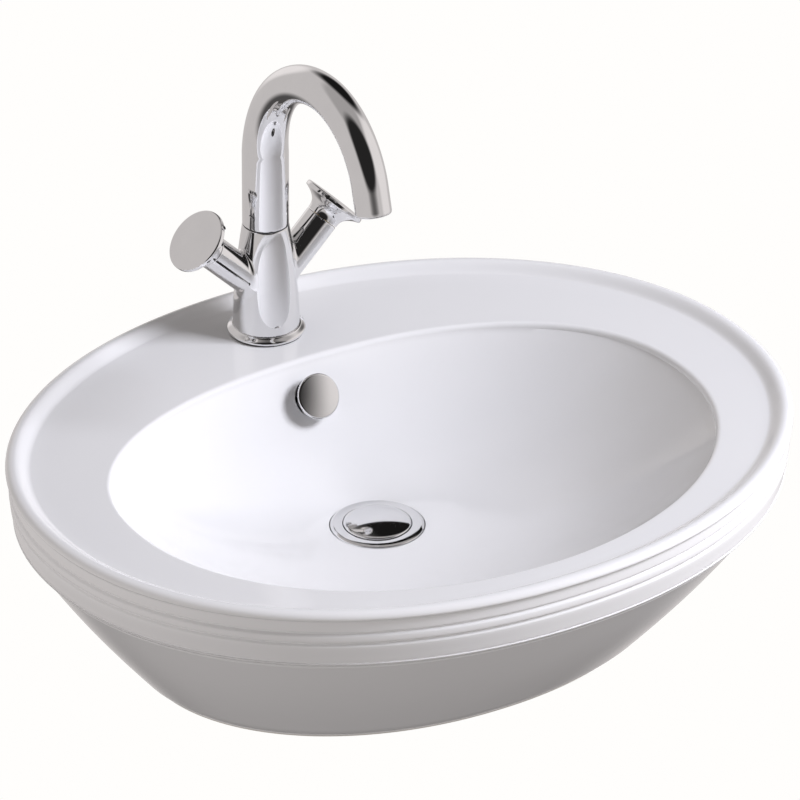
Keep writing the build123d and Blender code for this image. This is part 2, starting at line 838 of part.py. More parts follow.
def arch_plane(distance):
    """A plane square to the spout's axis, a distance along it from the top of the riser."""
    turn = min(distance / rise_length, 1.0) * pi / 2
    forward = rise_radius * (1 - cos(turn))
    height = arch_z + rise_radius * sin(turn)
    if distance > rise_length:
        turn += min(distance - rise_length, fall_length) / fall_radius
        forward += fall_radius * -cos(turn)
        height -= fall_radius * (1 - sin(turn))
    direction = Vector(0, -sin(turn), cos(turn))
    place = Vector(0, tap_y - forward, height) + direction * max(distance - rise_length - fall_length, 0.0)
    return Plane(origin=place, x_dir=(1, 0, 0), z_dir=direction)


def arch_circles(wall):
    """Circles along the arch, tapering quickly from the riser and slowly to the outlet."""
    distances = [rise_length * index / 5 for index in range(6)]
    distances += [rise_length + fall_length * index / 4 for index in range(1, 5)]
    distances += [arch_length - outlet_run / 2, arch_length]
    circles = []
    for distance in distances:
        left = 1 - distance / arch_length
        with BuildSketch(arch_plane(distance)) as circle:
            Circle(outlet_radius + (spout_radius - outlet_radius) * left**spout_taper_power - wall)
        circles.append(circle.sketch)
    return circles


spigot_outer = body_bore_radius - spigot_clearance
spout_spigot_z = body_top_z - spout_spigot_length
ring_groove = 2 * o_ring_wire + o_ring_room
ring_heights = [spout_spigot_z + o_ring_low, spout_spigot_z + o_ring_low + o_ring_spacing]
outlet = arch_plane(arch_length)
outlet_turn = Plane(origin=outlet.origin, x_dir=(1, 0, 0), z_dir=-outlet.y_dir)
with BuildPart() as spout:
    riser_outline = [
        (spigot_bore_radius, spout_spigot_z),
        (spigot_outer - fine_bevel, spout_spigot_z),
        (spigot_outer, spout_spigot_z + fine_bevel),
        (spigot_outer, spout_foot_z),
        (spout_radius - fine_bevel, spout_foot_z),
        (spout_radius, spout_foot_z + fine_bevel),
        (spout_radius, arch_z),
        (spout_radius - spout_wall, arch_z),
        (spout_radius - spout_wall, spout_foot_z + throat_high),
        (spigot_bore_radius, spout_foot_z + throat_low),
    ]
    turned(riser_outline, tap)
    loft(sections=arch_circles(0.0))
    loft(sections=arch_circles(spout_wall), mode=Mode.SUBTRACT)
    groove_floor = spigot_outer - lock_groove_depth
    grooves = [(height, ring_groove, spigot_outer - 2 * o_ring_wire) for height in ring_heights]
    grooves.append((lock_z, lock_groove_height, groove_floor))
    for height, width, floor_radius in grooves:
        low = height - width / 2
        turned(ring_outline(floor_radius, spout_radius, low, low + width), tap, Mode.SUBTRACT)
    with BuildSketch(outlet):
        Circle(aerator_radius + aerator_clearance)
    extrude(amount=-aerator_length - aerator_seal_thickness, mode=Mode.SUBTRACT)
save(spout, "spout")

with BuildPart() as spout_washer:
    washer_inner = body_bore_radius + washer_inset
    washer_outer = spout_radius - washer_inset
    turned(ring_outline(washer_inner, washer_outer, body_top_z, body_top_z + washer_thickness), tap)
save(spout_washer, "spout_washer")

with BuildPart() as spout_o_rings:
    for height in ring_heights:
        with BuildSketch(tap):
            with Locations((spigot_outer - o_ring_wire, height)):
                Circle(o_ring_wire - ring_ease)
        revolve(axis=Axis(tap.origin, tap.y_dir))
save(spout_o_rings, "spout_o_rings")

with BuildPart() as spout_lock_screw:
    tip_start = groove_floor + running_gap
    shank_start = body_bore_radius + running_gap
    shank_end = shank_start + lock_screw_length
    with BuildSketch(Plane.XZ.offset(-tap_y - tip_start)):
        with Locations((0, lock_z)):
            Circle(lock_tip_radius)
    extrude(amount=tip_start - shank_start)
    with BuildSketch(Plane.XZ.offset(-tap_y - shank_start)):
        with Locations((0, lock_z)):
            Circle(lock_screw_radius - thread_clearance)
    extrude(amount=shank_start - shank_end)
    with BuildSketch(Plane.XZ.offset(-tap_y - shank_end)):
        with Locations((0, lock_z)):
            RegularPolygon(lock_tip_radius, 6)
    extrude(amount=lock_socket_depth, mode=Mode.SUBTRACT)
save(spout_lock_screw, "spout_lock_screw")

with BuildPart() as aerator_housing:
    housing_outline = [
        (aerator_radius - aerator_wall, -aerator_length),
        (aerator_radius, -aerator_length),
        (aerator_radius, ring_ease),
        (outlet_radius - aerator_rim_inset, ring_ease),
        (outlet_radius - aerator_rim_inset - fine_bevel, aerator_rim),
        (aerator_radius - aerator_wall, aerator_rim),
    ]
    turned(housing_outline, outlet_turn)
save(aerator_housing, "aerator_housing")

insert_radius = aerator_radius - aerator_wall
with BuildPart() as aerator_insert:
    with BuildSketch(outlet.offset(-aerator_insert_length)):
        Circle(insert_radius)
        with PolarLocations(aerator_outer_circle, aerator_outer_holes):
            Circle(aerator_hole_radius, mode=Mode.SUBTRACT)
        with PolarLocations(aerator_inner_circle, aerator_inner_holes):
            Circle(aerator_hole_radius, mode=Mode.SUBTRACT)
        Circle(aerator_hole_radius, mode=Mode.SUBTRACT)
    extrude(amount=aerator_insert_length - aerator_rim / 2)
save(aerator_insert, "aerator_insert")

with BuildPart() as aerator_seal:
    seal_low = -aerator_length - aerator_seal_thickness
    seal_inner = aerator_radius - aerator_seal_width
    turned(ring_outline(seal_inner, aerator_radius, seal_low, -aerator_length), outlet_turn)
save(aerator_seal, "aerator_seal")


# Valves and knobs, alike on the hot and the cold side

valve_radius = arm_bore_radius - valve_clearance
valve_start = arm_bore_floor + valve_seal_thickness
fixed_disc_start = valve_start + disc_lift
moving_disc_start = fixed_disc_start + disc_thickness + disc_gap
spindle_start = moving_disc_start + disc_thickness
valve_shoulder = valve_start + valve_length
neck_end = valve_shoulder + valve_neck_length
knob_start = arm_length + knob_seam
knob_face = knob_start + knob_flare + knob_rim
bush_start = neck_end + bush_gap
bush_end = bush_start + bush_length
o_ring_along = valve_shoulder - spindle_seal_setback
chamber_radius = disc_radius + disc_room
chamber_end = spindle_start + spindle_foot_thickness + disc_room


def make_valve_seal(turn):
    with BuildPart() as piece:
        seal_reach = valve_radius - valve_seal_inset
        turned(ring_outline(water_way_radius, seal_reach, arm_bore_floor, valve_start), turn)
    return piece


def make_valve_body(turn):
    with BuildPart() as piece:
        outline = [
            (disc_radius - disc_seat_width, valve_start),
            (valve_radius, valve_start),
            (valve_radius, valve_shoulder),
            (valve_neck_radius, valve_shoulder),
            (valve_neck_radius, neck_end),
            (spindle_radius + spindle_clearance, neck_end),
            (spindle_radius + spindle_clearance, chamber_end),
            (chamber_radius, chamber_end),
            (chamber_radius, fixed_disc_start),
            (disc_radius - disc_seat_width, fixed_disc_start),
        ]
        turned(outline, turn)
    return piece


def make_disc(start, sign, turn_angle):
    with BuildPart() as piece:
        with BuildSketch(arm_plane(sign, start)):
            Circle(disc_radius)
            with PolarLocations(disc_port_offset, 2, start_angle=turn_angle):
                Circle(disc_port_radius, mode=Mode.SUBTRACT)
        extrude(amount=disc_thickness)
    return piece


def make_spindle(turn):
    with BuildPart() as piece:
        seat = 2 * spindle_seal_section + spindle_seal_room
        groove_low = o_ring_along - seat / 2
        groove_radius = spindle_radius - 2 * spindle_seal_section
        outline = [
            (0, spindle_start),
            (spindle_foot_radius, spindle_start),
            (spindle_foot_radius, spindle_start + spindle_foot_thickness),
            (spindle_radius, spindle_start + spindle_foot_thickness),
            (spindle_radius, groove_low),
            (groove_radius, groove_low),
            (groove_radius, groove_low + seat),
            (spindle_radius, groove_low + seat),
            (spindle_radius, bush_end),
            (0, bush_end),
        ]
        turned(outline, turn)
    return piece


def make_spindle_seal(turn):
    with BuildPart() as piece:
        with BuildSketch(turn):
            with Locations((spindle_radius - spindle_seal_section, o_ring_along)):
                Circle(spindle_seal_section - ring_ease)
        revolve(axis=Axis(turn.origin, turn.y_dir))
    return piece


def make_bush(turn):
    with BuildPart() as piece:
        turned(ring_outline(spindle_radius, bush_radius, bush_start, bush_end), turn)
    return piece


def make_knob(turn, sign):
    rim_start = knob_start + knob_flare
    with BuildPart() as piece:
        with BuildSketch(turn):
            with BuildLine():
                rim_foot = knob_radius - fine_bevel
                flare = Spline(*taper(arm_radius, rim_foot, knob_start, knob_flare, knob_flare_power))
                Polyline(
                    flare @ 1,
                    (knob_radius, rim_start + fine_bevel),
                    (knob_radius, knob_face - edge_bevel),
                    *dome(knob_radius - edge_bevel, knob_face, knob_crown),
                    (0, bush_end),
                    (bush_radius, bush_end),
                    (bush_radius, bush_start),
                    (arm_radius - knob_shell, bush_start),
                    (arm_radius - knob_shell, knob_start),
                    flare @ 0,
                )
            make_face()
        revolve(axis=Axis(turn.origin, turn.y_dir))
        with BuildSketch(grub_plane(sign)):
            Circle(grub_radius)
        extrude(amount=arm_radius + 2 * grub_length, mode=Mode.SUBTRACT)
    return piece


def grub_plane(sign):
    """A plane square to the grub screw, on the arm's axis, facing the back."""
    middle = arm_plane(sign, (bush_start + bush_end) / 2 + bush_length / 4)
    return Plane(origin=middle.origin + middle.x_dir * bush_radius, x_dir=middle.z_dir, z_dir=middle.x_dir)


def make_grub_screw(sign):
    start = grub_plane(sign)
    with BuildPart() as piece:
        with BuildSketch(start):
            Circle(grub_radius - thread_clearance)
        extrude(amount=grub_length)
        with BuildSketch(start.offset(grub_length)):
            RegularPolygon(grub_socket_radius, 6)
        extrude(amount=-grub_length / 2, mode=Mode.SUBTRACT)
    return piece


def make_index_pin(sign):
    base = arm_plane(sign, knob_face - knob_rim / 2)
    turn_angle = radians(index_pin_turn)
    outward = base.y_dir * sign * sin(turn_angle) - base.x_dir * cos(turn_angle)
    foot = base.origin + outward * (knob_radius + index_pin_gap)
    start = Plane(origin=foot, x_dir=base.z_dir, z_dir=outward)
    with BuildPart() as piece:
        with BuildSketch(start):
            Circle(index_pin_radius)
        extrude(amount=index_pin_stand)
    return piece


for side, sign in (("hot", -1), ("cold", 1)):
    turn = arm_turn(sign)
    save(make_valve_seal(turn), side + "_valve_seal")
    save(make_valve_body(turn), side + "_valve_body")
    save(make_disc(fixed_disc_start, sign, 0), side + "_fixed_disc")
    save(make_disc(moving_disc_start, sign, 90), side + "_moving_disc")
    save(make_spindle(turn), side + "_spindle")
    save(make_spindle_seal(turn), side + "_spindle_seal")
    save(make_bush(turn), side + "_spline_bush")
    save(make_knob(turn, sign), side + "_knob")
    save(make_grub_screw(sign), side + "_grub_screw")
    save(make_index_pin(sign), side + "_index_pin")
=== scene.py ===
"""A white oval countertop basin with a two-handle swan-neck mixer, dressed for rendering.

Lengths are in millimetres until they reach a mesh, where they become metres. +Z is up, +X is to
the right, -Y is the front, and the origin is on the worktop under the middle of the rim.
"""

import json

import bmesh
import bpy
import numpy as np
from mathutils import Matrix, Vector


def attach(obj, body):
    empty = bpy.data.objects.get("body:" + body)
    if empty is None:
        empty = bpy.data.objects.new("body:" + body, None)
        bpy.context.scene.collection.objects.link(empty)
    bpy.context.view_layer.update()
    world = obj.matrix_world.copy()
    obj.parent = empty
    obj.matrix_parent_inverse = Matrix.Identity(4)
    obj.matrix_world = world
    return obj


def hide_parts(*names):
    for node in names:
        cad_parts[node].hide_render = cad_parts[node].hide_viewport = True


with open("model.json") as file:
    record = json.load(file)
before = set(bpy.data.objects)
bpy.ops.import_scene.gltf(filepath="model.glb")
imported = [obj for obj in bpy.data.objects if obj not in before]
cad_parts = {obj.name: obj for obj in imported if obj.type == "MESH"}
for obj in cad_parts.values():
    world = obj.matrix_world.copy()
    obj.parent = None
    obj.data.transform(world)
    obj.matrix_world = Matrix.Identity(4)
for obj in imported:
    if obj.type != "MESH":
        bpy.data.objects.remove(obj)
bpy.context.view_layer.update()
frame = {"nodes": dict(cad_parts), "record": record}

METRES = 0.001

# Basin, outside
RIM_HALF_WIDTH = 280.0
RIM_HALF_DEPTH = 232.0
RIM_SQUARENESS = 2.07
BASIN_HEIGHT = 153.0
FOOT_HALF_WIDTH = 190.5
FOOT_HALF_DEPTH = 141.0
FOOT_CENTRE_Y = 4.4
FOOT_ROUND = 2.5
BODY_BULGE = 3.0
CERAMIC_WALL = 10.0
LIP_CREST_INSET = 6.0
LIP_ROLL = 4.5
LIP_UNDER_DROP = 8.0
LIP_UNDER_INSET = 2.6
LEDGE_INSET = 15.5
LEDGE_DROP = 6.0
GROOVE_DROPS = (17.0, 25.0)
GROOVE_WIDTH = 1.1
GROOVE_DEPTH = 1.5
BEAD_RISE = 0.5
BAND_FOOT_INSET = 4.6
APRON_DROP = 41.5
APRON_STEP = 3.4
APRON_CREASE = 2.4

# Basin, bowl and underside
BOWL_HALF_WIDTH = 217.0
BOWL_CENTRE_Y = -18.0
BOWL_FRONT_REACH = 177.0
BOWL_BACK_REACH = 147.0
BOWL_BACK_SQUARENESS = 2.3
BOWL_EDGE_ROUND = 4.0
BOWL_CURVE_POWER = 2.6
DRAIN_DISH_WIDTH = 22.0
DRAIN_SILL = 1.2
BOWL_DEPTH = 85.0
BOWL_SHELL = 8.0
CAVITY_TOP = 137.0
DRAIN_Y = 31.0
DRAIN_HOLE_RADIUS = 22.5
BOSS_RADIUS = 36.0
BOSS_FOOT = 33.8
SEAT_HEIGHT = 59.8
SEAT_RADIUS = 33.3
RING_STEPS = 288

# Tap
TAP_Y = 180.0
TAP_HOLE_RADIUS = 17.5
TAP_BOSS_RADIUS = 32.0
TAP_BOSS_DROP = 5.0
BODY_FOOT = 152.6
BODY_TOP = 231.1
BODY_FOOT_RADIUS = 23.4
SPIGOT_RADIUS = 16.6
SPIGOT_FOOT = 137.6
INLET_X = 8.5
INLET_SET_BACK = 3.0
INLET_RADIUS = 4.5
INLET_END = SPIGOT_FOOT + 13.0
STUD_SET_FORWARD = 9.0
STUD_HOLE_RADIUS = 3.0
STUD_HOLE_END = SPIGOT_FOOT + 10.0
ARM_HEIGHT = 177.0
ARM_RADIUS = 12.0
ARM_LENGTH = 64.0
ARM_BLEND = 3.0
BODY_TAPER = 1.7
CASTING_VOXEL = 0.7
SPOUT_RADIUS = 16.3
OUTLET_RADIUS = 12.7
SPOUT_TAPER = 2.8
SPOUT_WALL = 2.2
SPOUT_FOOT = 232.0
RISER_LENGTH = 56.0
RISE_RADIUS = 81.0
FALL_RADIUS = 61.0
FALL_SWEEP = np.radians(75.0)
OUTLET_RUN = 17.7
SWIVEL_LENGTH = 22.0
SWIVEL_RADIUS = 12.5
SWIVEL_BORE = 9.5
AERATOR_RADIUS = 11.6
AERATOR_SEAT = 9.2
AERATOR_WALL = 1.2
AERATOR_REACH = 8.0
KNOB_START = 64.4
KNOB_FLARE = 12.0
KNOB_RIM = 3.6
KNOB_RADIUS = 23.2

LEDGE_HEIGHT = BASIN_HEIGHT - LEDGE_DROP
FLOOR_HEIGHT = LEDGE_HEIGHT - BOWL_DEPTH
BODY_TOP_HEIGHT = BASIN_HEIGHT - APRON_DROP - APRON_CREASE


# Small maths

def smooth(value):
    """0 below 0, 1 above 1, and a smooth step between."""
    held = np.clip(value, 0.0, 1.0)
    return held * held * (3.0 - 2.0 * held)


def signed_power(value, power):
    return np.sign(value) * np.abs(value) ** power


def oval(half_width, half_depth, centre_y=0.0, squareness=RIM_SQUARENESS):
    """Points of an oval, one a step."""
    turn = 2 * np.pi * np.arange(RING_STEPS) / RING_STEPS
    x = half_width * signed_power(np.cos(turn), 2 / squareness)
    y = centre_y + half_depth * signed_power(np.sin(turn), 2 / squareness)
    return np.stack([x, y], axis=1)


def at_height(points, height):
    """The points of an outline, lifted to a height, which may differ from point to point."""
    heights = np.broadcast_to(np.asarray(height, float), (len(points),))
    return np.column_stack([points, heights])


# Mesh helpers

def new_piece(name, vertices, faces, body, smooth_angle=40.0):
    """A mesh piece from millimetre vertices, shaded smooth up to an angle, riding on a body."""
    mesh = bpy.data.meshes.new(name)
    mesh.from_pydata([tuple(v) for v in np.asarray(vertices) * METRES], [], faces)
    mesh.update()
    piece = bpy.data.objects.new(name, mesh)
    bpy.context.scene.collection.objects.link(piece)
    finish_mesh(piece, smooth_angle)
    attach(piece, body)
    return piece


def finish_mesh(piece, smooth_angle):
    """Faces outwards, smooth shading, and sharp edges only above the angle."""
    work = bmesh.new()
    work.from_mesh(piece.data)
    bmesh.ops.remove_doubles(work, verts=work.verts, dist=1e-7)
    bmesh.ops.recalc_face_normals(work, faces=work.faces)
    for face in work.faces:
        face.smooth = True
    work.to_mesh(piece.data)
    work.free()
    piece.data.set_sharp_from_angle(angle=np.radians(smooth_angle))


def grid_faces(rings, steps, closed_loop=False):
    """Quads between rings of the same number of points, the last ring joined to the first if asked."""
    faces = []
    for ring in range(rings if closed_loop else rings - 1):
        low = ring * steps
        high = ((ring + 1) % rings) * steps
        for step in range(steps):
            following = (step + 1) % steps
            faces.append((low + step, low + following, high + following, high + step))
    return faces


def rounded(corners, radius, steps=4):
    """An open outline with each inner corner replaced by an arc-like curve of about that radius."""
    points = [np.array(corners[0], float)]
    for before, corner, after in zip(corners, corners[1:], corners[2:]):
        before, corner, after = (np.array(p, float) for p in (before, corner, after))
        reach_in = min(radius, np.linalg.norm(before - corner) / 2.2)
        reach_out = min(radius, np.linalg.norm(after - corner) / 2.2)
        start = corner + (before - corner) / np.linalg.norm(before - corner) * reach_in
        end = corner + (after - corner) / np.linalg.norm(after - corner) * reach_out
        for index in range(steps + 1):
            share = index / steps
            points.append((1 - share) ** 2 * start + 2 * share * (1 - share) * corner + share**2 * end)
    points.append(np.array(corners[-1], float))
    return points


def turned(name, outline, origin, direction, body, steps=128, closed=False, smooth_angle=40.0):
    """A piece turned about an axis from an outline of (radius, distance along the axis).

    An outline that starts or ends on the axis is closed there; a closed outline makes a ring.
    """
    axis = Vector(direction).normalized()
    side = axis.orthogonal().normalized()
    across = axis.cross(side)
    frame_matrix = np.array([side, across, axis])
    turn = 2 * np.pi * np.arange(steps) / steps
    vertices = []
    for radius, along in outline:
        local = np.column_stack([radius * np.cos(turn), radius * np.sin(turn), np.full(steps, along)])
        vertices.append(local @ frame_matrix + np.array(origin))
    vertices = np.concatenate(vertices)
    faces = grid_faces(len(outline), steps, closed)
    return new_piece(name, vertices, faces, body, smooth_angle)


def bored(piece, cutters, union=()):
    """Joins solids to a piece, then cuts others out of it, and removes those helpers."""
    for helpers, operation in ((union, "UNION"), (cutters, "DIFFERENCE")):
        for helper in helpers:
            step = piece.modifiers.new("cut", "BOOLEAN")
            step.operation = operation
            step.solver = "EXACT"
            step.object = helper
    graph = bpy.context.evaluated_depsgraph_get()
    result = bpy.data.meshes.new_from_object(piece.evaluated_get(graph))
    piece.modifiers.clear()
    piece.data = result
    for helper in [*union, *cutters]:
        bpy.data.objects.remove(helper)


def helper_prism(points, start, end):
    """A throwaway prism between two parallel copies of an outline, both given as millimetre points."""
    count = len(points)
    vertices = [tuple((np.array(p) + start) * METRES) for p in points]
    vertices += [tuple((np.array(p) + end) * METRES) for p in points]
    faces = [tuple(range(count))[::-1], tuple(range(count, 2 * count))]
    for step in range(count):
        following = (step + 1) % count
        faces.append((step, following, count + following, count + step))
    mesh = bpy.data.meshes.new("helper")
    mesh.from_pydata(vertices, [], faces)
    work = bmesh.new()
    work.from_mesh(mesh)
    bmesh.ops.recalc_face_normals(work, faces=work.faces)
    work.to_mesh(mesh)
    work.free()
    helper = bpy.data.objects.new("helper", mesh)
    bpy.context.scene.collection.objects.link(helper)
    return helper


def helper_rod(radius, start, end, steps=64):
    """A throwaway cylinder between two points."""
    axis = (Vector(end) - Vector(start)).normalized()
    side = axis.orthogonal().normalized()
    across = axis.cross(side)
    points = []
    for step in range(steps):
        turn = 2 * np.pi * step / steps
        points.append(np.array(side * radius * np.cos(turn) + across * radius * np.sin(turn)))
    return helper_prism(points, np.array(start), np.array(end))


def helper_block(low, high):
    """A throwaway box between two corners."""
    corners = [(low[0], low[1], 0), (high[0], low[1], 0), (high[0], high[1], 0), (low[0], high[1], 0)]
    return helper_prism(corners, np.array((0, 0, low[2])), np.array((0, 0, high[2])))


# Materials

def node_material(name):
    """A new material with its shader node, ready for more nodes."""
    material = bpy.data.materials.new(name)
    material.use_nodes = True
    nodes = material.node_tree.nodes
    return material, nodes, material.node_tree.links, nodes["Principled BSDF"]


def noise(nodes, links, scale, detail=3.0, roughness=0.5, stretch=None):
    """A noise texture in the object's own coordinates, in units of one metre."""
    place = nodes.new("ShaderNodeTexCoord")
    texture = nodes.new("ShaderNodeTexNoise")
    texture.inputs["Scale"].default_value = scale
    texture.inputs["Detail"].default_value = detail
    texture.inputs["Roughness"].default_value = roughness
    source = place.outputs["Object"]
    if stretch:
        mapping = nodes.new("ShaderNodeMapping")
        mapping.inputs["Scale"].default_value = stretch
        links.new(source, mapping.inputs["Vector"])
        source = mapping.outputs["Vector"]
    links.new(source, texture.inputs["Vector"])
    return texture.outputs["Fac"]


def ranged(nodes, links, value, low, high, from_low=0.0, from_high=1.0):
    """The value mapped from one range to another."""
    step = nodes.new("ShaderNodeMapRange")
    step.inputs["From Min"].default_value = from_low
    step.inputs["From Max"].default_value = from_high
    step.inputs["To Min"].default_value = low
    step.inputs["To Max"].default_value = high
    links.new(value, step.inputs["Value"])
    return step.outputs["Result"]


def bumped(nodes, links, shader, height, strength, distance):
    """Adds a bump from a height to the shader."""
    bump = nodes.new("ShaderNodeBump")
    bump.inputs["Strength"].default_value = strength
    bump.inputs["Distance"].default_value = distance
    links.new(height, bump.inputs["Height"])
    links.new(bump.outputs["Normal"], shader.inputs["Normal"])


def blended(nodes, links, factor, first, second):
    """A colour between two by a factor."""
    mix = nodes.new("ShaderNodeMix")
    mix.data_type = "RGBA"
    mix.inputs["A"].default_value = (*first, 1.0)
    mix.inputs["B"].default_value = (*second, 1.0)
    links.new(factor, mix.inputs["Factor"])
    return mix.outputs["Result"]


def height_above(nodes, links):
    """The height of the point above the worktop, in metres."""
    place = nodes.new("ShaderNodeTexCoord")
    parts = nodes.new("ShaderNodeSeparateXYZ")
    links.new(place.outputs["Object"], parts.inputs["Vector"])
    return parts.outputs["Z"]


def glaze_material():
    """White gloss glaze: faint cloudiness, a slow ripple, and a bare fired foot."""
    material, nodes, links, shader = node_material("white_glaze")
    cloud = noise(nodes, links, 9.0, 2.0)
    tint = blended(nodes, links, cloud, (0.815, 0.815, 0.825), (0.845, 0.845, 0.85))
    foot = ranged(nodes, links, height_above(nodes, links), 1.0, 0.0, 0.0012, 0.0022)
    grain = noise(nodes, links, 900.0, 4.0, 0.7)
    bisque = blended(nodes, links, grain, (0.62, 0.58, 0.5), (0.74, 0.71, 0.65))
    mix = nodes.new("ShaderNodeMix")
    mix.data_type = "RGBA"
    links.new(foot, mix.inputs["Factor"])
    links.new(tint, mix.inputs["A"])
    links.new(bisque, mix.inputs["B"])
    links.new(mix.outputs["Result"], shader.inputs["Base Color"])
    gloss = ranged(nodes, links, noise(nodes, links, 60.0, 4.0), 0.05, 0.1)
    rough = nodes.new("ShaderNodeMix")
    links.new(foot, rough.inputs["Factor"])
    links.new(gloss, rough.inputs["A"])
    rough.inputs["B"].default_value = 0.8
    links.new(rough.outputs["Result"], shader.inputs["Roughness"])
    shader.inputs["IOR"].default_value = 1.5
    bumped(nodes, links, shader, noise(nodes, links, 34.0, 1.0), 0.05, 0.002)
    return material


def chrome_material(name, smudge=0.05):
    """Polished chrome with faint smudges and hairline wipe marks."""
    material, nodes, links, shader = node_material(name)
    shader.inputs["Metallic"].default_value = 1.0
    cloud = noise(nodes, links, 55.0, 5.0, 0.6)
    tint = blended(nodes, links, cloud, (0.80, 0.80, 0.81), (0.87, 0.87, 0.875))
    links.new(tint, shader.inputs["Base Color"])
    wipes = noise(nodes, links, 300.0, 3.0, 0.6, (1.0, 1.0, 0.08))
    links.new(ranged(nodes, links, wipes, 0.02, 0.02 + smudge), shader.inputs["Roughness"])
    bumped(nodes, links, shader, noise(nodes, links, 40.0, 1.0), 0.03, 0.001)
    return material


def brass_material():
    """Machined brass with turning marks and a little tarnish."""
    material, nodes, links, shader = node_material("machined_brass")
    shader.inputs["Metallic"].default_value = 1.0
    stain = noise(nodes, links, 120.0, 5.0, 0.65)
    tint = blended(nodes, links, stain, (0.62, 0.44, 0.2), (0.83, 0.66, 0.36))
    links.new(tint, shader.inputs["Base Color"])
    links.new(ranged(nodes, links, stain, 0.42, 0.22), shader.inputs["Roughness"])
    marks = noise(nodes, links, 900.0, 2.0, 0.5, (0.05, 0.05, 1.0))
    bumped(nodes, links, shader, marks, 0.2, 0.0002)
    return material


def threaded_brass_material():
    """Brass with a fine thread along the upright axis."""
    material, nodes, links, shader = node_material("threaded_brass")
    shader.inputs["Metallic"].default_value = 1.0
    stain = noise(nodes, links, 150.0, 5.0, 0.65)
    tint = blended(nodes, links, stain, (0.6, 0.43, 0.2), (0.8, 0.63, 0.34))
    links.new(tint, shader.inputs["Base Color"])
    links.new(ranged(nodes, links, stain, 0.42, 0.25), shader.inputs["Roughness"])
    pitch = nodes.new("ShaderNodeTexWave")
    pitch.bands_direction = "Z"
    pitch.inputs["Scale"].default_value = 314.0
    place = nodes.new("ShaderNodeTexCoord")
    links.new(place.outputs["Object"], pitch.inputs["Vector"])
    bumped(nodes, links, shader, pitch.outputs["Fac"], 0.9, 0.0006)
    return material


def steel_material(name, tint):
    """Plated steel with a brushed grain."""
    material, nodes, links, shader = node_material(name)
    shader.inputs["Metallic"].default_value = 1.0
    grain = noise(nodes, links, 700.0, 4.0, 0.6, (0.06, 1.0, 1.0))
    darker = tuple(value * 0.72 for value in tint)
    links.new(blended(nodes, links, grain, darker, tint), shader.inputs["Base Color"])
    links.new(ranged(nodes, links, grain, 0.4, 0.22), shader.inputs["Roughness"])
    bumped(nodes, links, shader, grain, 0.15, 0.0001)
    return material


def rubber_material():
    """Matt black rubber with a dusty, slightly pitted skin."""
    material, nodes, links, shader = node_material("black_rubber")
    dust = noise(nodes, links, 240.0, 5.0, 0.7)
    tint = blended(nodes, links, dust, (0.012, 0.012, 0.012), (0.04, 0.039, 0.037))
    links.new(tint, shader.inputs["Base Color"])
    links.new(ranged(nodes, links, dust, 0.6, 0.85), shader.inputs["Roughness"])
    bumped(nodes, links, shader, noise(nodes, links, 1500.0, 3.0, 0.6), 0.25, 0.0001)
    return material


def plastic_material(name, dark, light):
    """Moulded plastic with a fine eggshell skin."""
    material, nodes, links, shader = node_material(name)
    cloud = noise(nodes, links, 90.0, 3.0)
    links.new(blended(nodes, links, cloud, dark, light), shader.inputs["Base Color"])
    links.new(ranged(nodes, links, cloud, 0.35, 0.5), shader.inputs["Roughness"])
    bumped(nodes, links, shader, noise(nodes, links, 1800.0, 2.0), 0.12, 0.0001)
    return material


def lapped_ceramic_material():
    """Lapped valve ceramic: cream, fine-grained, half matt."""
    material, nodes, links, shader = node_material("lapped_ceramic")
    grain = noise(nodes, links, 1200.0, 4.0, 0.7)
    tint = blended(nodes, links, grain, (0.72, 0.69, 0.62), (0.84, 0.82, 0.76))
    links.new(tint, shader.inputs["Base Color"])
    links.new(ranged(nodes, links, grain, 0.25, 0.4), shader.inputs["Roughness"])
    bumped(nodes, links, shader, grain, 0.08, 0.00005)
    return material


MATERIALS = {
    "glaze": glaze_material(),
    "chrome_tap": chrome_material("tap_chrome"),
    "chrome_trim": chrome_material("trim_chrome", 0.08),
    "brass_raw": brass_material(),
    "steel_plain": steel_material("plated_steel", (0.62, 0.62, 0.63)),
    "spring_steel": steel_material("spring_steel", (0.5, 0.5, 0.52)),
    "rubber_black": rubber_material(),
    "plastic_white": plastic_material("white_plastic", (0.72, 0.72, 0.69), (0.8, 0.8, 0.78)),
    "plastic_dark": plastic_material("dark_plastic", (0.015, 0.015, 0.016), (0.03, 0.03, 0.032)),
    "ceramic_disc": lapped_ceramic_material(),
}
THREADED = threaded_brass_material()


def dress(piece, slot):
    """Gives a piece its slot's material and no other."""
    piece.data.materials.clear()
    piece.data.materials.append(MATERIALS[slot])


# The basin: rings of points from the foot up the outside, over the lip and ledge, down the bowl,
# through the drain hole, and back along the underside

def rim_oval(inset):
    """The rim's outline, drawn in all round."""
    return oval(RIM_HALF_WIDTH - inset, RIM_HALF_DEPTH - inset)


def body_oval(height, inset=0.0):
    """The tapered body's outline at a height."""
    top_inset = BAND_FOOT_INSET + APRON_STEP
    share = min(max(height / BODY_TOP_HEIGHT, 0.0), 1.0)
    bulge = BODY_BULGE * np.sin(np.pi * share) - inset
    half_width = FOOT_HALF_WIDTH + (RIM_HALF_WIDTH - top_inset - FOOT_HALF_WIDTH) * share + bulge
    half_depth = FOOT_HALF_DEPTH + (RIM_HALF_DEPTH - top_inset - FOOT_HALF_DEPTH) * share + bulge
    return oval(half_width, half_depth, FOOT_CENTRE_Y * (1 - share))


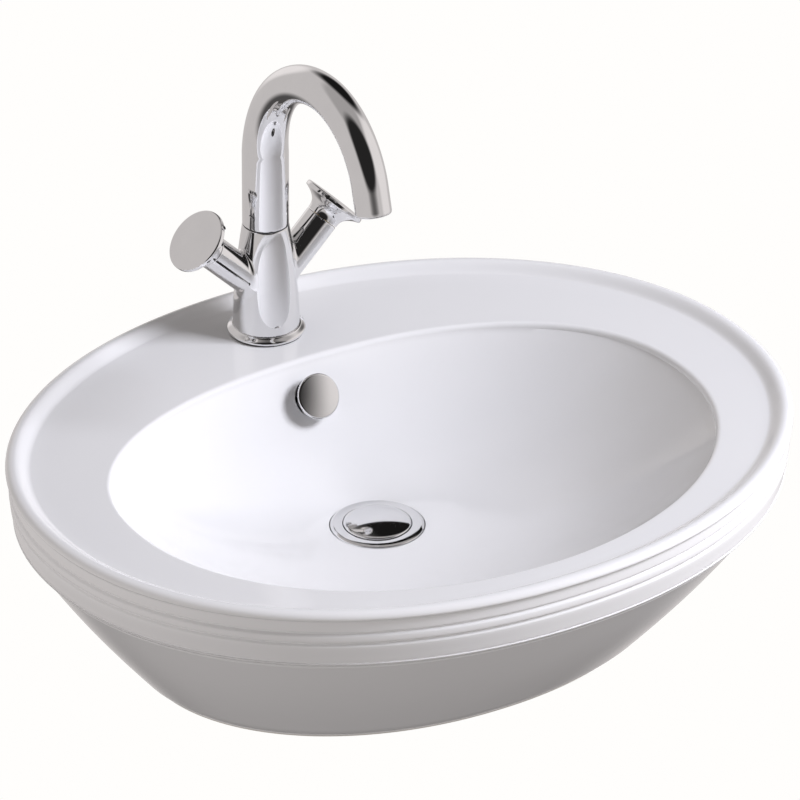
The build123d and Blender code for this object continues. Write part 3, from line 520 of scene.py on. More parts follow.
def band_inset(drop):
    """How far the band under the lip stands in from the rim: two grooves, a bead and a crowned apron."""
    low_groove = GROOVE_DROPS[1]
    slope = smooth((drop - low_groove) / (APRON_DROP - low_groove))
    inset = LIP_UNDER_INSET + (BAND_FOOT_INSET - LIP_UNDER_INSET) * slope
    for groove in GROOVE_DROPS:
        inset += GROOVE_DEPTH * np.exp(-(((drop - groove) / GROOVE_WIDTH) ** 2))
    middle = sum(GROOVE_DROPS) / 2
    bead = 1 - ((drop - middle) / (middle - GROOVE_DROPS[0])) ** 2
    return inset - BEAD_RISE * max(bead, 0.0)


def drain_directions():
    """Unit directions from the drain and the reach of the bowl's edge along each."""
    turn = np.linspace(0, 2 * np.pi, 4096, endpoint=False)
    back = np.sin(turn) > 0
    power = np.where(back, BOWL_BACK_SQUARENESS, 2.0)
    reach = np.where(back, BOWL_BACK_REACH, BOWL_FRONT_REACH)
    x = BOWL_HALF_WIDTH * signed_power(np.cos(turn), 2 / power)
    y = BOWL_CENTRE_Y + reach * signed_power(np.sin(turn), 2 / power) - DRAIN_Y
    angle = np.unwrap(np.arctan2(y, x))
    wanted = 2 * np.pi * np.arange(RING_STEPS) / RING_STEPS
    radius = np.interp(wanted, angle, np.hypot(x, y), period=2 * np.pi)
    return np.column_stack([np.cos(wanted), np.sin(wanted)]), radius


DRAIN_DIRECTION, BOWL_REACH = drain_directions()


def bowl_ring(share, spread=0.0):
    """Points of the bowl between the drain's seat, at share 0, and the edge, at share 1."""
    radius = SEAT_RADIUS + (BOWL_REACH - SEAT_RADIUS) * share + spread
    return np.array([0, DRAIN_Y]) + DRAIN_DIRECTION * radius[:, None]


def bowl_height(share):
    """The bowl's height at a share, dished softly towards the drain's seat."""
    rise = BOWL_DEPTH - BOWL_EDGE_ROUND
    radius = SEAT_RADIUS + (BOWL_REACH - SEAT_RADIUS) * share
    height = rise * (radius / BOWL_REACH) ** BOWL_CURVE_POWER
    sill = rise * (SEAT_RADIUS / BOWL_REACH) ** BOWL_CURVE_POWER
    dish = np.exp(-((radius - SEAT_RADIUS) / DRAIN_DISH_WIDTH) ** 2)
    return FLOOR_HEIGHT + height - (sill - DRAIN_SILL) * dish


def basin_rings():
    """The basin's rings, in order round its section."""
    rings = []
    # foot, with its rounded edge
    for turn in np.linspace(0, np.pi / 2, 5):
        inset = FOOT_ROUND * (1 - np.sin(turn))
        rings.append(at_height(body_oval(0, inset), FOOT_ROUND * (1 - np.cos(turn))))
    for height in np.linspace(FOOT_ROUND, BODY_TOP_HEIGHT - 3.0, 22)[1:]:
        rings.append(at_height(body_oval(height), height))
    # soft crease from the body to the apron
    for share in np.linspace(0, 1, 9):
        height = BODY_TOP_HEIGHT - 3.0 + (APRON_CREASE + 3.0) * share
        inset = BAND_FOOT_INSET + APRON_STEP * (1 - smooth(share * 1.2 - 0.2)) + 0.9 * (1 - share) ** 2
        rings.append(at_height(rim_oval(inset), height))
    # band with grooves
    for drop in np.arange(APRON_DROP - 0.4, LIP_UNDER_DROP, -0.4):
        rounding = 1.0 * np.exp(-(APRON_DROP - drop) / 1.2)
        rings.append(at_height(rim_oval(band_inset(drop) + rounding), BASIN_HEIGHT - drop))
    # underside of the lip and its roll
    for share in np.linspace(0, 1, 7)[1:]:
        inset = LIP_UNDER_INSET * (1 - smooth(share))
        drop = LIP_UNDER_DROP + (LIP_ROLL - LIP_UNDER_DROP) * share
        rings.append(at_height(rim_oval(inset), BASIN_HEIGHT - drop))
    for turn in np.linspace(0, np.pi / 2, 10)[1:]:
        inset = LIP_CREST_INSET * (1 - np.cos(turn))
        rings.append(at_height(rim_oval(inset), BASIN_HEIGHT - LIP_ROLL * (1 - np.sin(turn))))
    for share in np.linspace(0, 1, 14)[1:]:
        inset = LIP_CREST_INSET + (LEDGE_INSET + 2.0 - LIP_CREST_INSET) * share
        rings.append(at_height(rim_oval(inset), BASIN_HEIGHT - LEDGE_DROP * smooth(share)))
    # ledge, then the bowl's rounded edge
    outer = rim_oval(LEDGE_INSET + 2.0)
    inner = bowl_ring(1.0, BOWL_EDGE_ROUND + 1.0)
    for share in np.linspace(0, 1, 8)[1:]:
        rings.append(at_height(outer + (inner - outer) * share, LEDGE_HEIGHT))
    for turn in np.linspace(0, np.pi / 2, 10):
        spread = BOWL_EDGE_ROUND * (1 - np.sin(turn))
        height = LEDGE_HEIGHT - BOWL_EDGE_ROUND * (1 - np.cos(turn))
        rings.append(at_height(bowl_ring(1.0, spread), height))
    for share in np.linspace(1, 0, 64)[1:]:
        rings.append(at_height(bowl_ring(share), bowl_height(share)))
    # seat, drain hole, boss
    centre = np.array([0, DRAIN_Y])
    for radius, height in (
        (SEAT_RADIUS, SEAT_HEIGHT + 0.6),
        (SEAT_RADIUS - 0.6, SEAT_HEIGHT),
        (DRAIN_HOLE_RADIUS, SEAT_HEIGHT),
        (DRAIN_HOLE_RADIUS, BOSS_FOOT + 0.8),
        (DRAIN_HOLE_RADIUS + 0.8, BOSS_FOOT),
        (BOSS_RADIUS - 2.0, BOSS_FOOT),
        (BOSS_RADIUS, BOSS_FOOT + 2.0),
        (BOSS_RADIUS, FLOOR_HEIGHT - BOWL_SHELL - 3.0),
        (BOSS_RADIUS + 3.0, FLOOR_HEIGHT - BOWL_SHELL),
    ):
        rings.append(at_height(centre + DRAIN_DIRECTION * radius, height))
    # underside of the bowl and the cavity
    for share in np.linspace(0.12, 0.97, 22):
        low = bowl_height(share) - BOWL_SHELL
        rings.append(at_height(bowl_ring(share, BOWL_SHELL * share), np.minimum(low, CAVITY_TOP - 3.0)))
    rings.append(at_height(bowl_ring(1.0, BOWL_SHELL + 2.0), CAVITY_TOP))
    wall_top = rim_oval(LIP_UNDER_INSET + GROOVE_DEPTH + CERAMIC_WALL + 3.0)
    rings.append(at_height(wall_top, CAVITY_TOP))
    for share in np.linspace(1, 0, 10):
        height = (BODY_TOP_HEIGHT - 2.0) * share + FOOT_ROUND * (1 - share)
        rings.append(at_height(body_oval(height, CERAMIC_WALL), height))
    rings.append(at_height(body_oval(0, CERAMIC_WALL - FOOT_ROUND), 0.0))
    return rings


def back_wall(share, outward):
    """A point on the middle of the bowl's back wall, (y, z), moved out along its normal."""
    span = BOWL_CENTRE_Y + BOWL_BACK_REACH - DRAIN_Y
    rise = BOWL_DEPTH - BOWL_EDGE_ROUND
    lean = np.arctan(rise * BOWL_CURVE_POWER * share ** (BOWL_CURVE_POWER - 1) / span)
    y = DRAIN_Y + span * share + outward * np.sin(lean)
    return y, FLOOR_HEIGHT + rise * share**BOWL_CURVE_POWER - outward * np.cos(lean)


# Overflow hole and duct

OVERFLOW_DROP = 31.0
OVERFLOW_HOLE_RADIUS = 10.5
OVERFLOW_SHARE = ((BASIN_HEIGHT - OVERFLOW_DROP - FLOOR_HEIGHT) / (BOWL_DEPTH - BOWL_EDGE_ROUND)) ** (
    1 / BOWL_CURVE_POWER
)
OVERFLOW_CENTRE = np.array((0, *back_wall(OVERFLOW_SHARE, 0)))
OVERFLOW_OUT = OVERFLOW_CENTRE - np.array((0, *back_wall(OVERFLOW_SHARE, 1)))
DUCT_DEPTH = 11.0
DUCT_HALF_WIDTH = 16.0
DUCT_WALL = 7.0
DUCT_SHARES = (1.02, 0.97, 0.9, 0.82, 0.72, 0.6)
DUCT_LOW = 39.3
DUCT_HIGH = 49.3


def duct_outline(cover, mouth_y):
    """The overflow duct's side view, or its casing's where cover is the wall round it."""
    bend_y = DRAIN_Y + BOSS_RADIUS - DUCT_WALL
    points = [back_wall(share, BOWL_SHELL - cover / 2) for share in DUCT_SHARES]
    low = DUCT_LOW - cover * 0.8
    points += [(bend_y, DUCT_HIGH + cover), (mouth_y, DUCT_HIGH + cover), (mouth_y, low)]
    points += [(bend_y + cover + DUCT_WALL / 2, low)]
    points += [back_wall(share, BOWL_SHELL + DUCT_DEPTH + cover) for share in reversed(DUCT_SHARES)]
    return [(0.0, y, z) for y, z in points]


def make_basin():
    """The glazed shell with the duct's casing and the tap's boss, and the holes through them."""
    rings = basin_rings()
    vertices = np.concatenate(rings)
    faces = grid_faces(len(rings), RING_STEPS, True)
    basin = new_piece("basin_glazed", vertices, faces, "fixed", 30.0)
    casing_reach = DUCT_HALF_WIDTH + DUCT_WALL
    casing_mouth = DRAIN_Y + BOSS_RADIUS - 6.0
    casing_side = duct_outline(DUCT_WALL, casing_mouth)
    casing = helper_prism(casing_side, (-casing_reach, 0, 0), (casing_reach, 0, 0))
    boss_foot = (0, TAP_Y, CAVITY_TOP - TAP_BOSS_DROP)
    boss = helper_rod(TAP_BOSS_RADIUS, boss_foot, (0, TAP_Y, CAVITY_TOP + 4.0))
    duct_mouth = DRAIN_Y + DRAIN_HOLE_RADIUS - 3.0
    duct_side = duct_outline(0.0, duct_mouth)
    duct = helper_prism(duct_side, (-DUCT_HALF_WIDTH, 0, 0), (DUCT_HALF_WIDTH, 0, 0))
    hole_foot = (0, TAP_Y, CAVITY_TOP - 9.0)
    tap_hole = helper_rod(TAP_HOLE_RADIUS, hole_foot, (0, TAP_Y, LEDGE_HEIGHT + 4.0))
    inner_end = OVERFLOW_CENTRE - OVERFLOW_OUT * (BOWL_SHELL + DUCT_DEPTH / 2)
    outer_end = OVERFLOW_CENTRE + OVERFLOW_OUT * 6.0
    overflow_hole = helper_rod(OVERFLOW_HOLE_RADIUS, inner_end, outer_end)
    bored(basin, [duct, tap_hole, overflow_hole], [casing, boss])
    basin.data.set_sharp_from_angle(angle=np.radians(30))
    dress(basin, "glaze")
    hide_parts("basin")


make_basin()


# Overflow trim

CAP_LOW = 9.0
CAP_HIGH = 12.0
CAP_RADIUS = 16.0
CAP_STEM_RADIUS = 3.2
CAP_STEM_END = -8.0


def make_overflow():
    """The cap in front of the overflow hole, on its stem."""
    outline = [(0, CAP_HIGH), (CAP_RADIUS - 1.0, CAP_HIGH - 0.5), (CAP_RADIUS, CAP_HIGH - 1.2),
               (CAP_RADIUS, CAP_LOW), (CAP_RADIUS - 1.4, CAP_LOW), (CAP_STEM_RADIUS, CAP_LOW),
               (CAP_STEM_RADIUS, CAP_STEM_END), (0, CAP_STEM_END)]
    outline = rounded(outline, 0.5)
    cap = turned("overflow_cap_turned", outline, OVERFLOW_CENTRE, OVERFLOW_OUT, "fixed")
    dress(cap, "chrome_trim")
    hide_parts("overflow_cap")


make_overflow()


# Waste and plug

FLANGE_TOP = 64.7
FLANGE_FOOT = 61.3
FLANGE_RADIUS = 33.0
PLUG_SEAT_HEIGHT = 62.9
PLUG_SEAT_RADIUS = 24.1
TAIL_RADIUS = 20.95
TAIL_BORE_RADIUS = 18.35
TAIL_FOOT = 3.0
THREAD_FOOT = 4.4
THREAD_DEPTH = 0.5
THREAD_PITCH = 2.3
RELIEF_HIGH = 20.8
RELIEF_LOW = 18.8
RELIEF_DEPTH = 0.8
CROSSBAR_LOW = 35.3
CROSSBAR_HIGH = 39.3
CROSSBAR_HALF_WIDTH = 3.5
CROSSBAR_HUB_RADIUS = 7.0
SCREW_WAY_RADIUS = 2.0
SLOT_HIGH = 48.3
SLOT_HALF_WIDTH = 11.0
SLOT_REACH = 40
PLUG_RADIUS = 23.6
PLUG_EDGE = 65.7
PLUG_FOOT = 64.1
PLUG_RISE = 2.2


def tail_thread():
    """The tail's outline from the top down: thread, relief groove, thread."""
    outline = []
    relief = TAIL_RADIUS - RELIEF_DEPTH
    for high, low in ((FLANGE_FOOT - 3.0, RELIEF_HIGH), (RELIEF_LOW, THREAD_FOOT)):
        crest = high
        while crest > low + THREAD_PITCH:
            outline += [(TAIL_RADIUS, crest), (TAIL_RADIUS - THREAD_DEPTH, crest - THREAD_PITCH * 0.35),
                        (TAIL_RADIUS, crest - THREAD_PITCH * 0.7)]
            crest -= THREAD_PITCH
        if low == RELIEF_HIGH:
            outline += [(TAIL_RADIUS, RELIEF_HIGH), (relief, RELIEF_HIGH), (relief, RELIEF_LOW)]
    return outline


def make_waste():
    """The flange with its threaded, slotted tail and crossbar."""
    outline = [(TAIL_BORE_RADIUS, PLUG_SEAT_HEIGHT), (PLUG_SEAT_RADIUS, PLUG_SEAT_HEIGHT),
               (PLUG_SEAT_RADIUS, FLANGE_TOP), (30.8, FLANGE_TOP), (32.6, FLANGE_TOP - 0.9),
               (FLANGE_RADIUS, FLANGE_FOOT + 0.8), (32.2, FLANGE_FOOT), (TAIL_RADIUS, FLANGE_FOOT)]
    foot = [(TAIL_RADIUS, THREAD_FOOT), (TAIL_RADIUS - 0.2, TAIL_FOOT), (TAIL_BORE_RADIUS, TAIL_FOOT),
            (TAIL_BORE_RADIUS, PLUG_SEAT_HEIGHT)]
    outline = rounded(outline, 0.45) + tail_thread() + rounded(foot, 0.4)[:-1]
    waste = turned("waste_flange_turned", outline, (0, DRAIN_Y, 0), (0, 0, 1), "fixed",
                   128, True, 30.0)
    reach = TAIL_BORE_RADIUS + 0.5
    bar = helper_block((-CROSSBAR_HALF_WIDTH, DRAIN_Y - reach, CROSSBAR_LOW),
                       (CROSSBAR_HALF_WIDTH, DRAIN_Y + reach, CROSSBAR_HIGH))
    hub = helper_rod(CROSSBAR_HUB_RADIUS, (0, DRAIN_Y, CROSSBAR_LOW), (0, DRAIN_Y, CROSSBAR_HIGH))
    slots = helper_block((-SLOT_HALF_WIDTH, DRAIN_Y - SLOT_REACH, CROSSBAR_HIGH),
                         (SLOT_HALF_WIDTH, DRAIN_Y + SLOT_REACH, SLOT_HIGH))
    screw_way = helper_rod(SCREW_WAY_RADIUS, (0, DRAIN_Y, 34.0), (0, DRAIN_Y, CROSSBAR_HIGH))
    bored(waste, [slots, screw_way], [bar, hub])
    waste.data.set_sharp_from_angle(angle=np.radians(30))
    dress(waste, "chrome_trim")
    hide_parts("waste_body")


def make_plug():
    """The push plug's low dome."""
    crown = [(PLUG_RADIUS * share, PLUG_EDGE + PLUG_RISE * (1 - share**2))
             for share in np.linspace(0, 0.97, 14)]
    rim = rounded([crown[-1], (PLUG_RADIUS, PLUG_EDGE - 0.5), (PLUG_RADIUS, PLUG_FOOT),
                   (PLUG_RADIUS - 1.0, PLUG_FOOT)], 0.5)
    outline = crown[:-1] + rim + [(0, PLUG_FOOT)]
    plug = turned("plug_dome", outline, (0, DRAIN_Y, 0), (0, 0, 1), "plug", 128, False, 50.0)
    dress(plug, "chrome_trim")
    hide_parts("plug_cap")


make_waste()
make_plug()


# Tap body: a flared column and two arms, blended where they meet

def body_radius(height):
    """The column's radius, flared towards its foot."""
    share = np.clip((height - BODY_FOOT) / (BODY_TOP - BODY_FOOT), 0, 1)
    return BODY_FOOT_RADIUS - (BODY_FOOT_RADIUS - SPOUT_RADIUS) * share**BODY_TAPER


def soft_larger(first, second, width):
    """The larger of two fields, blended where they are nearly equal."""
    gap = np.clip(0.5 - 0.5 * (first - second) / width, 0, 1)
    return first + (second - first) * gap + width * gap * (1 - gap)


def soft_smaller(first, second, width):
    """The smaller of two fields, blended where they are nearly equal."""
    return -soft_larger(-first, -second, width)


def casting_field(points):
    """Roughly the distance from the blended casting's skin, negative inside."""
    x = points[:, 0]
    y = points[:, 1] - TAP_Y
    z = points[:, 2]
    middle = (BODY_FOOT + BODY_TOP) / 2
    past_ends = np.abs(z - middle) - (BODY_TOP - BODY_FOOT) / 2
    field = soft_larger(np.hypot(x, y) - body_radius(z), past_ends, 0.6)
    half = np.sqrt(0.5)
    for sign in (-1, 1):
        along = (x * sign + z - ARM_HEIGHT) * half
        across = (x * sign - z + ARM_HEIGHT) * half
        arm = soft_larger(np.hypot(across, y) - ARM_RADIUS, along - ARM_LENGTH, 0.8)
        arm = soft_larger(arm, -along - 4.0, 0.8)
        field = soft_smaller(field, arm, ARM_BLEND)
    return field


def pulled_to_skin(points, field, rounds=6, reach=0.02):
    """Moves points onto the field's zero surface along its slope."""
    for _ in range(rounds):
        slope = field_slope(points, field, reach)
        size = np.maximum((slope**2).sum(axis=1), 1e-6)
        points = points - slope * (field(points) / size)[:, None]
    return points


def field_slope(points, field, reach=0.02):
    """The field's gradient at the points, by central differences."""
    slope = np.empty_like(points)
    for axis in range(3):
        step = np.zeros(3)
        step[axis] = reach
        slope[:, axis] = (field(points + step) - field(points - step)) / (2 * reach)
    return slope


def make_casting():
    """The column and its arms, meshed evenly and pulled onto the blended skin."""
    column = rounded([(0, BODY_TOP)] + [(body_radius(z), z) for z in np.linspace(BODY_TOP, BODY_FOOT, 24)]
                     + [(0, BODY_FOOT)], 0.3, 2)
    casting = turned("tap_casting", column, (0, TAP_Y, 0), (0, 0, 1), "fixed", 96)
    half = np.sqrt(0.5)
    arms = []
    for sign in (-1, 1):
        end = (sign * half * ARM_LENGTH, TAP_Y, ARM_HEIGHT + half * ARM_LENGTH)
        arms.append(helper_rod(ARM_RADIUS, (0, TAP_Y, ARM_HEIGHT), end, 96))
    bored(casting, [], arms)
    remesh = casting.modifiers.new("even", "REMESH")
    remesh.mode = "VOXEL"
    remesh.voxel_size = CASTING_VOXEL * METRES
    graph = bpy.context.evaluated_depsgraph_get()
    casting.data = bpy.data.meshes.new_from_object(casting.evaluated_get(graph))
    casting.modifiers.clear()
    mesh = casting.data
    points = np.empty(len(mesh.vertices) * 3)
    mesh.vertices.foreach_get("co", points)
    points = pulled_to_skin(points.reshape(-1, 3) / METRES, casting_field)
    mesh.vertices.foreach_set("co", (points * METRES).ravel())
    mesh.update()
    normals = field_slope(points, casting_field)
    normals /= np.linalg.norm(normals, axis=1)[:, None]
    mesh.shade_smooth()
    mesh.normals_split_custom_set_from_vertices([tuple(n) for n in normals])
    dress(casting, "chrome_tap")
    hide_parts("tap_body")
    make_spigot()


def make_spigot():
    """The threaded foot of the casting, with its two inlets and the hole for the stud."""
    top = BODY_FOOT - 0.1
    outline = rounded([(0, top), (SPIGOT_RADIUS, top), (SPIGOT_RADIUS, SPIGOT_FOOT), (0, SPIGOT_FOOT)], 0.6)
    spigot = turned("tap_spigot", outline, (0, TAP_Y, 0), (0, 0, 1), "fixed", 96)
    inlets = []
    start = SPIGOT_FOOT - 1.0
    inlet_y = TAP_Y + INLET_SET_BACK
    for x in (-INLET_X, INLET_X):
        inlets.append(helper_rod(INLET_RADIUS, (x, inlet_y, start), (x, inlet_y, INLET_END), 48))
    stud_y = TAP_Y - STUD_SET_FORWARD
    stud_hole = helper_rod(STUD_HOLE_RADIUS, (0, stud_y, start), (0, stud_y, STUD_HOLE_END), 32)
    bored(spigot, [*inlets, stud_hole])
    spigot.data.set_sharp_from_angle(angle=np.radians(35))
    dress(spigot, "brass_raw")


make_casting()


BASE_RING_FOOT = 148.0
BASE_RING_BORE = 17.0
BASE_RING_RADIUS = 27.5


def make_base_ring():
    """The stepped chrome ring between the casting and the basin."""
    foot = BASE_RING_FOOT
    outline = [(BASE_RING_BORE, foot), (BASE_RING_RADIUS - 0.3, foot), (BASE_RING_RADIUS, foot + 0.6),
               (BASE_RING_RADIUS, foot + 1.7), (26.6, foot + 2.5), (24.6, foot + 3.9), (23.9, foot + 4.6),
               (BASE_RING_BORE, foot + 4.6)]
    outline = rounded(outline, 0.5)
    ring = turned("base_ring_turned", outline, (0, TAP_Y, 0), (0, 0, 1), "fixed",
                  128, True, 30.0)
    dress(ring, "chrome_tap")
    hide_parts("tap_base_ring")


make_base_ring()


# Spout

RISE_END = RISER_LENGTH + RISE_RADIUS * np.pi / 2
FALL_END = RISE_END + FALL_RADIUS * FALL_SWEEP
SPOUT_LENGTH = FALL_END + OUTLET_RUN


def spout_place(distance):
    """Centre and direction of the spout's axis, a distance along it from the top of the body.

    The axis is a straight riser, a quarter turn, a tighter falling turn and a short straight run.
    """
    turn = np.clip((distance - RISER_LENGTH) / RISE_RADIUS, 0, np.pi / 2)
    forward = RISE_RADIUS * (1 - np.cos(turn))
    height = SPOUT_FOOT + min(distance, RISER_LENGTH) + RISE_RADIUS * np.sin(turn)
    fall = np.clip((distance - RISE_END) / FALL_RADIUS, 0, FALL_SWEEP)
    forward += FALL_RADIUS * np.sin(fall)
    height -= FALL_RADIUS * (1 - np.cos(fall))
    direction = np.array((0, -np.sin(turn + fall), np.cos(turn + fall)))
    centre = np.array((0, TAP_Y - forward, height)) + direction * max(distance - FALL_END, 0)
    return centre, direction


def spout_radius(distance):
    """The tube's radius: it narrows quickly in the arch's rise and slowly towards the outlet."""
    left = 1 - np.clip((distance - RISER_LENGTH) / (SPOUT_LENGTH - RISER_LENGTH), 0, 1)
    return OUTLET_RADIUS + (SPOUT_RADIUS - OUTLET_RADIUS) * left**SPOUT_TAPER


def make_spout():
    """The hollow tube on its swivel spigot, and the aerator's ring in its mouth."""
    end = SPOUT_LENGTH
    mouth = AERATOR_RADIUS + 0.1
    stations = [(-SWIVEL_LENGTH, SWIVEL_BORE), (-SWIVEL_LENGTH, SWIVEL_RADIUS - 0.3)]
    stations += [(-SWIVEL_LENGTH + 0.4, SWIVEL_RADIUS), (0.0, SWIVEL_RADIUS), (0.0, SPOUT_RADIUS - 0.4)]
    stations += [(0.15, SPOUT_RADIUS - 0.1), (0.5, SPOUT_RADIUS)]
    stations += [(s, spout_radius(s)) for s in np.linspace(2.0, end - 0.6, 150)]
    stations += [(end - 0.3, OUTLET_RADIUS - 0.03), (end - 0.08, OUTLET_RADIUS - 0.15)]
    stations += [(end, OUTLET_RADIUS - 0.4), (end, mouth), (end - AERATOR_SEAT, mouth)]
    stations += [(s, spout_radius(s) - SPOUT_WALL) for s in np.linspace(end - AERATOR_SEAT, 3.0, 60)]
    stations += [(1.0, SWIVEL_BORE)]
    steps = 96
    turn = 2 * np.pi * np.arange(steps) / steps
    vertices = []
    for distance, radius in stations:
        centre, direction = spout_place(distance)
        side = np.array((1.0, 0, 0))
        across = np.cross(direction, side)
        vertices.append(centre + radius * (np.cos(turn)[:, None] * side + np.sin(turn)[:, None] * across))
    faces = grid_faces(len(stations), steps, True)
    spout = new_piece("spout_tube", np.concatenate(vertices), faces, "swan_neck", 35.0)
    dress(spout, "chrome_tap")
    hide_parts("spout")
    centre, direction = spout_place(end)
    inner = AERATOR_RADIUS - AERATOR_WALL
    outline = [(inner, -AERATOR_REACH), (AERATOR_RADIUS, -AERATOR_REACH), (AERATOR_RADIUS, 0.05),
               (OUTLET_RADIUS - 0.2, 0.05), (OUTLET_RADIUS - 0.4, 0.9), (inner + 0.3, 1.0), (inner, 0.6)]
    outline = rounded(outline, 0.25)
    housing = turned("aerator_ring", outline, centre, direction, "swan_neck", 96, True, 30.0)
    dress(housing, "chrome_tap")
    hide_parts("aerator_housing")


make_spout()


# Knobs

def make_knob(side, sign):
    """A flared disc knob at the end of its arm; sign is -1 for the left arm and 1 for the right."""
    half = np.sqrt(0.5)
    direction = (sign * half, 0, half)
    rim = KNOB_START + KNOB_FLARE
    face = rim + KNOB_RIM
    flare = [(ARM_RADIUS + (KNOB_RADIUS - 0.4 - ARM_RADIUS) * share**3, KNOB_START + KNOB_FLARE * share)
             for share in np.linspace(0, 1, 16)]
    edge = [flare[-1], (KNOB_RADIUS, rim + 0.5), (KNOB_RADIUS, face - 0.7), (KNOB_RADIUS - 0.8, face),
            (KNOB_RADIUS * 0.9, face + 0.12)]
    edge = rounded(edge, 0.5)
    crown = [(KNOB_RADIUS * share, face + 0.6 * (1 - share**2)) for share in np.linspace(0.88, 0, 12)]
    hollow = ARM_RADIUS - 1.6
    outline = [(0, KNOB_START + 0.9), (hollow, KNOB_START + 0.9), (hollow, KNOB_START)]
    outline += flare[:-1] + edge + crown
    knob = turned(f"{side}_knob_turned", outline, (0, TAP_Y, ARM_HEIGHT), direction, f"{side}_handle",
                  128, False, 35.0)
    dress(knob, "chrome_tap")
    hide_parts(f"{side}_knob")


make_knob("hot", -1)
make_knob("cold", 1)


# Finishes of the carried-over solids

for entry in frame["record"]["subparts"]:
    node = frame["nodes"][entry["node"]]
    dress(node, entry["material_slot"])
for name in ("tap_stud", "fixing_nut"):
    frame["nodes"][name].data.materials[0] = THREADED


# Stage, light and camera

FLOOR_REACH = 60.0
FLOOR_LEVEL = -0.001
FLOOR_WHITE = (1.0, 0.99, 0.975, 1.0)


def make_floor():
    """A wide plain white floor that the camera sees, and that casts no light on the part."""
    mesh = bpy.data.meshes.new("floor")
    corners = [(-FLOOR_REACH, -FLOOR_REACH, FLOOR_LEVEL), (FLOOR_REACH, -FLOOR_REACH, FLOOR_LEVEL),
               (FLOOR_REACH, FLOOR_REACH, FLOOR_LEVEL), (-FLOOR_REACH, FLOOR_REACH, FLOOR_LEVEL)]
    mesh.from_pydata(corners, [], [(0, 1, 2, 3)])
    floor = bpy.data.objects.new("floor", mesh)
    bpy.context.scene.collection.objects.link(floor)
    material = bpy.data.materials.new("pale_floor")
    material.use_nodes = True
    nodes = material.node_tree.nodes
    nodes.clear()
    glow = nodes.new("ShaderNodeEmission")
    glow.inputs["Color"].default_value = FLOOR_WHITE
    glow.inputs["Strength"].default_value = 1.0
    output = nodes.new("ShaderNodeOutputMaterial")
    material.node_tree.links.new(glow.outputs["Emission"], output.inputs["Surface"])
    mesh.materials.append(material)
    floor.visible_diffuse = False
    floor.visible_glossy = False
    floor.visible_shadow = False


SURROUND = 0.6
SURROUND_TINT = (1.0, 0.95, 0.935, 1.0)
# Cards and flags round the part: bearing from +X and elevation in degrees, half-angle, brightness
CARDS = {
    "ceiling": (0, 90, 40, 0.4),
    "ground": (0, -90, 48, 0.08),
    "big softbox on the right": (-23, 10, 36, 0.84),
    "bright strip behind": (81, 2, 16, 0.9),
    "gap behind": (41, 35, 25, 0.01),
    "black flag in front": (-111, 38, 43, 0.02),
}
CARD_SOFTNESS = 8


def make_world():
    """A grey surround with soft-edged round cards of other brightness, each laid over those before."""
    world = bpy.data.worlds.new("studio")
    bpy.context.scene.world = world
    world.use_nodes = True
    nodes = world.node_tree.nodes
    links = world.node_tree.links
    background = nodes["Background"]
    place = nodes.new("ShaderNodeTexCoord")
    shade = None
    for name, (bearing, elevation, half_angle, brightness) in CARDS.items():
        bearing, elevation = np.radians((bearing, elevation))
        toward = nodes.new("ShaderNodeVectorMath")
        toward.label = name
        toward.operation = "DOT_PRODUCT"
        toward.inputs[1].default_value = (np.cos(bearing) * np.cos(elevation),
                                          np.sin(bearing) * np.cos(elevation), np.sin(elevation))
        links.new(place.outputs["Generated"], toward.inputs[0])
        edge = nodes.new("ShaderNodeMapRange")
        edge.interpolation_type = "SMOOTHSTEP"
        edge.inputs["From Min"].default_value = np.cos(np.radians(half_angle + CARD_SOFTNESS))
        edge.inputs["From Max"].default_value = np.cos(np.radians(half_angle - CARD_SOFTNESS))
        links.new(toward.outputs["Value"], edge.inputs["Value"])
        mix = nodes.new("ShaderNodeMix")
        links.new(edge.outputs["Result"], mix.inputs["Factor"])
        if shade:
            links.new(shade, mix.inputs["A"])
        else:
            mix.inputs["A"].default_value = SURROUND
        mix.inputs["B"].default_value = brightness
        shade = mix.outputs["Result"]
    links.new(shade, background.inputs["Strength"])
    background.inputs["Color"].default_value = SURROUND_TINT


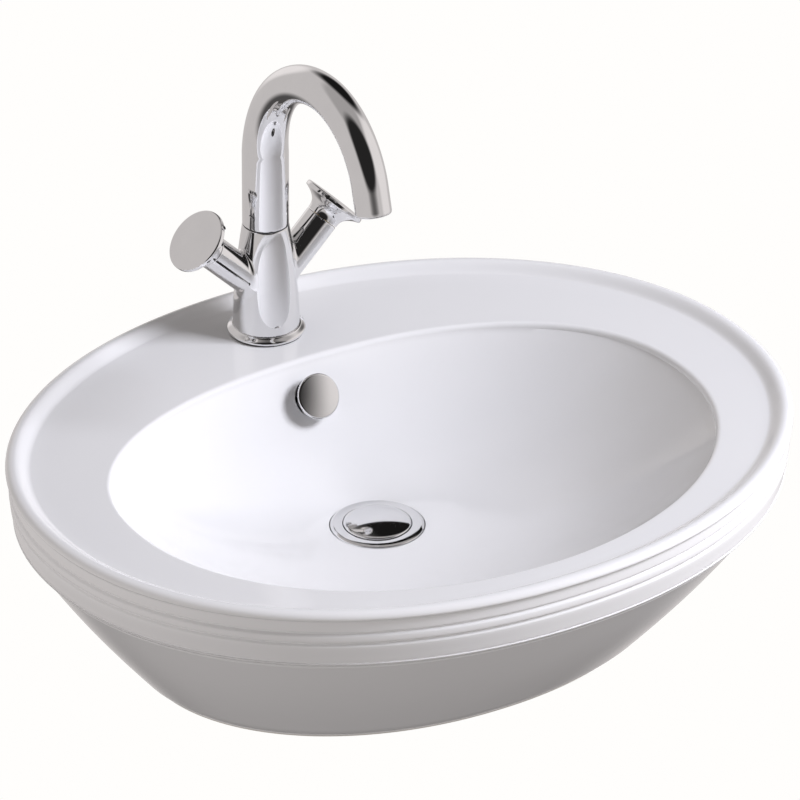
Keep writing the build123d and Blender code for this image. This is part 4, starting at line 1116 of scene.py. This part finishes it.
# Lamps, in metres and watts: place, width, height, power, colour
LAMP_TARGET = (0, 0, 0.1)
LAMPS = {
    "key": ((2.02, -1.58, 2.23), 1.1, 1.1, 118.0, (0.91, 0.92, 1.0)),
    "low fill on the left": ((-2.6, -0.9, 0.35), 1.4, 0.8, 14.0, (1.0, 0.96, 0.94)),
    "low fill on the right": ((2.4, -1.7, 0.2), 1.4, 0.6, 15.0, (1.0, 0.96, 0.94)),
}


def make_lamp(name, location, width, height, power, colour):
    """A rectangular lamp aimed at the part, which lights it and isn't mirrored in it."""
    data = bpy.data.lights.new(name, "AREA")
    data.shape = "RECTANGLE"
    data.size = width
    data.size_y = height
    data.energy = power
    data.color = colour
    lamp = bpy.data.objects.new(name, data)
    lamp.location = location
    aim = Vector(LAMP_TARGET) - Vector(location)
    lamp.rotation_euler = aim.to_track_quat("-Z", "Y").to_euler()
    lamp.visible_glossy = False
    bpy.context.scene.collection.objects.link(lamp)


# Camera, fitted to the photograph: angles, distance and lens, and how far its aim stands off the level point
CAMERA_AZIMUTH = np.radians(-31.29)
CAMERA_ELEVATION = np.radians(30.03)
CAMERA_DISTANCE = 9.222
CAMERA_LENS = 603.7
CAMERA_LEVEL = Vector((0, 0, 0.1))
AIM_RIGHT = -0.00045
AIM_UP = 0.0671


def make_camera():
    """The camera at the photograph's angle and framing."""
    back = Vector((np.sin(CAMERA_AZIMUTH) * np.cos(CAMERA_ELEVATION),
                   -np.cos(CAMERA_AZIMUTH) * np.cos(CAMERA_ELEVATION), np.sin(CAMERA_ELEVATION)))
    data = bpy.data.cameras.new("camera")
    data.lens = CAMERA_LENS
    data.sensor_width = 36.0
    data.clip_start = 0.1
    data.clip_end = 200.0
    camera = bpy.data.objects.new("camera", data)
    camera.location = CAMERA_LEVEL + back * CAMERA_DISTANCE
    right = Vector((np.cos(CAMERA_AZIMUTH), np.sin(CAMERA_AZIMUTH), 0))
    aim = CAMERA_LEVEL + right * AIM_RIGHT + back.cross(right) * AIM_UP
    camera.rotation_mode = "QUATERNION"
    camera.rotation_quaternion = (aim - camera.location).to_track_quat("-Z", "Y")
    bpy.context.scene.collection.objects.link(camera)
    bpy.context.scene.camera = camera


make_floor()
make_world()
for lamp_name, lamp_settings in LAMPS.items():
    make_lamp(lamp_name, *lamp_settings)
make_camera()

bpy.context.scene.view_settings.view_transform = "Standard"
bpy.context.scene.view_settings.look = "None"
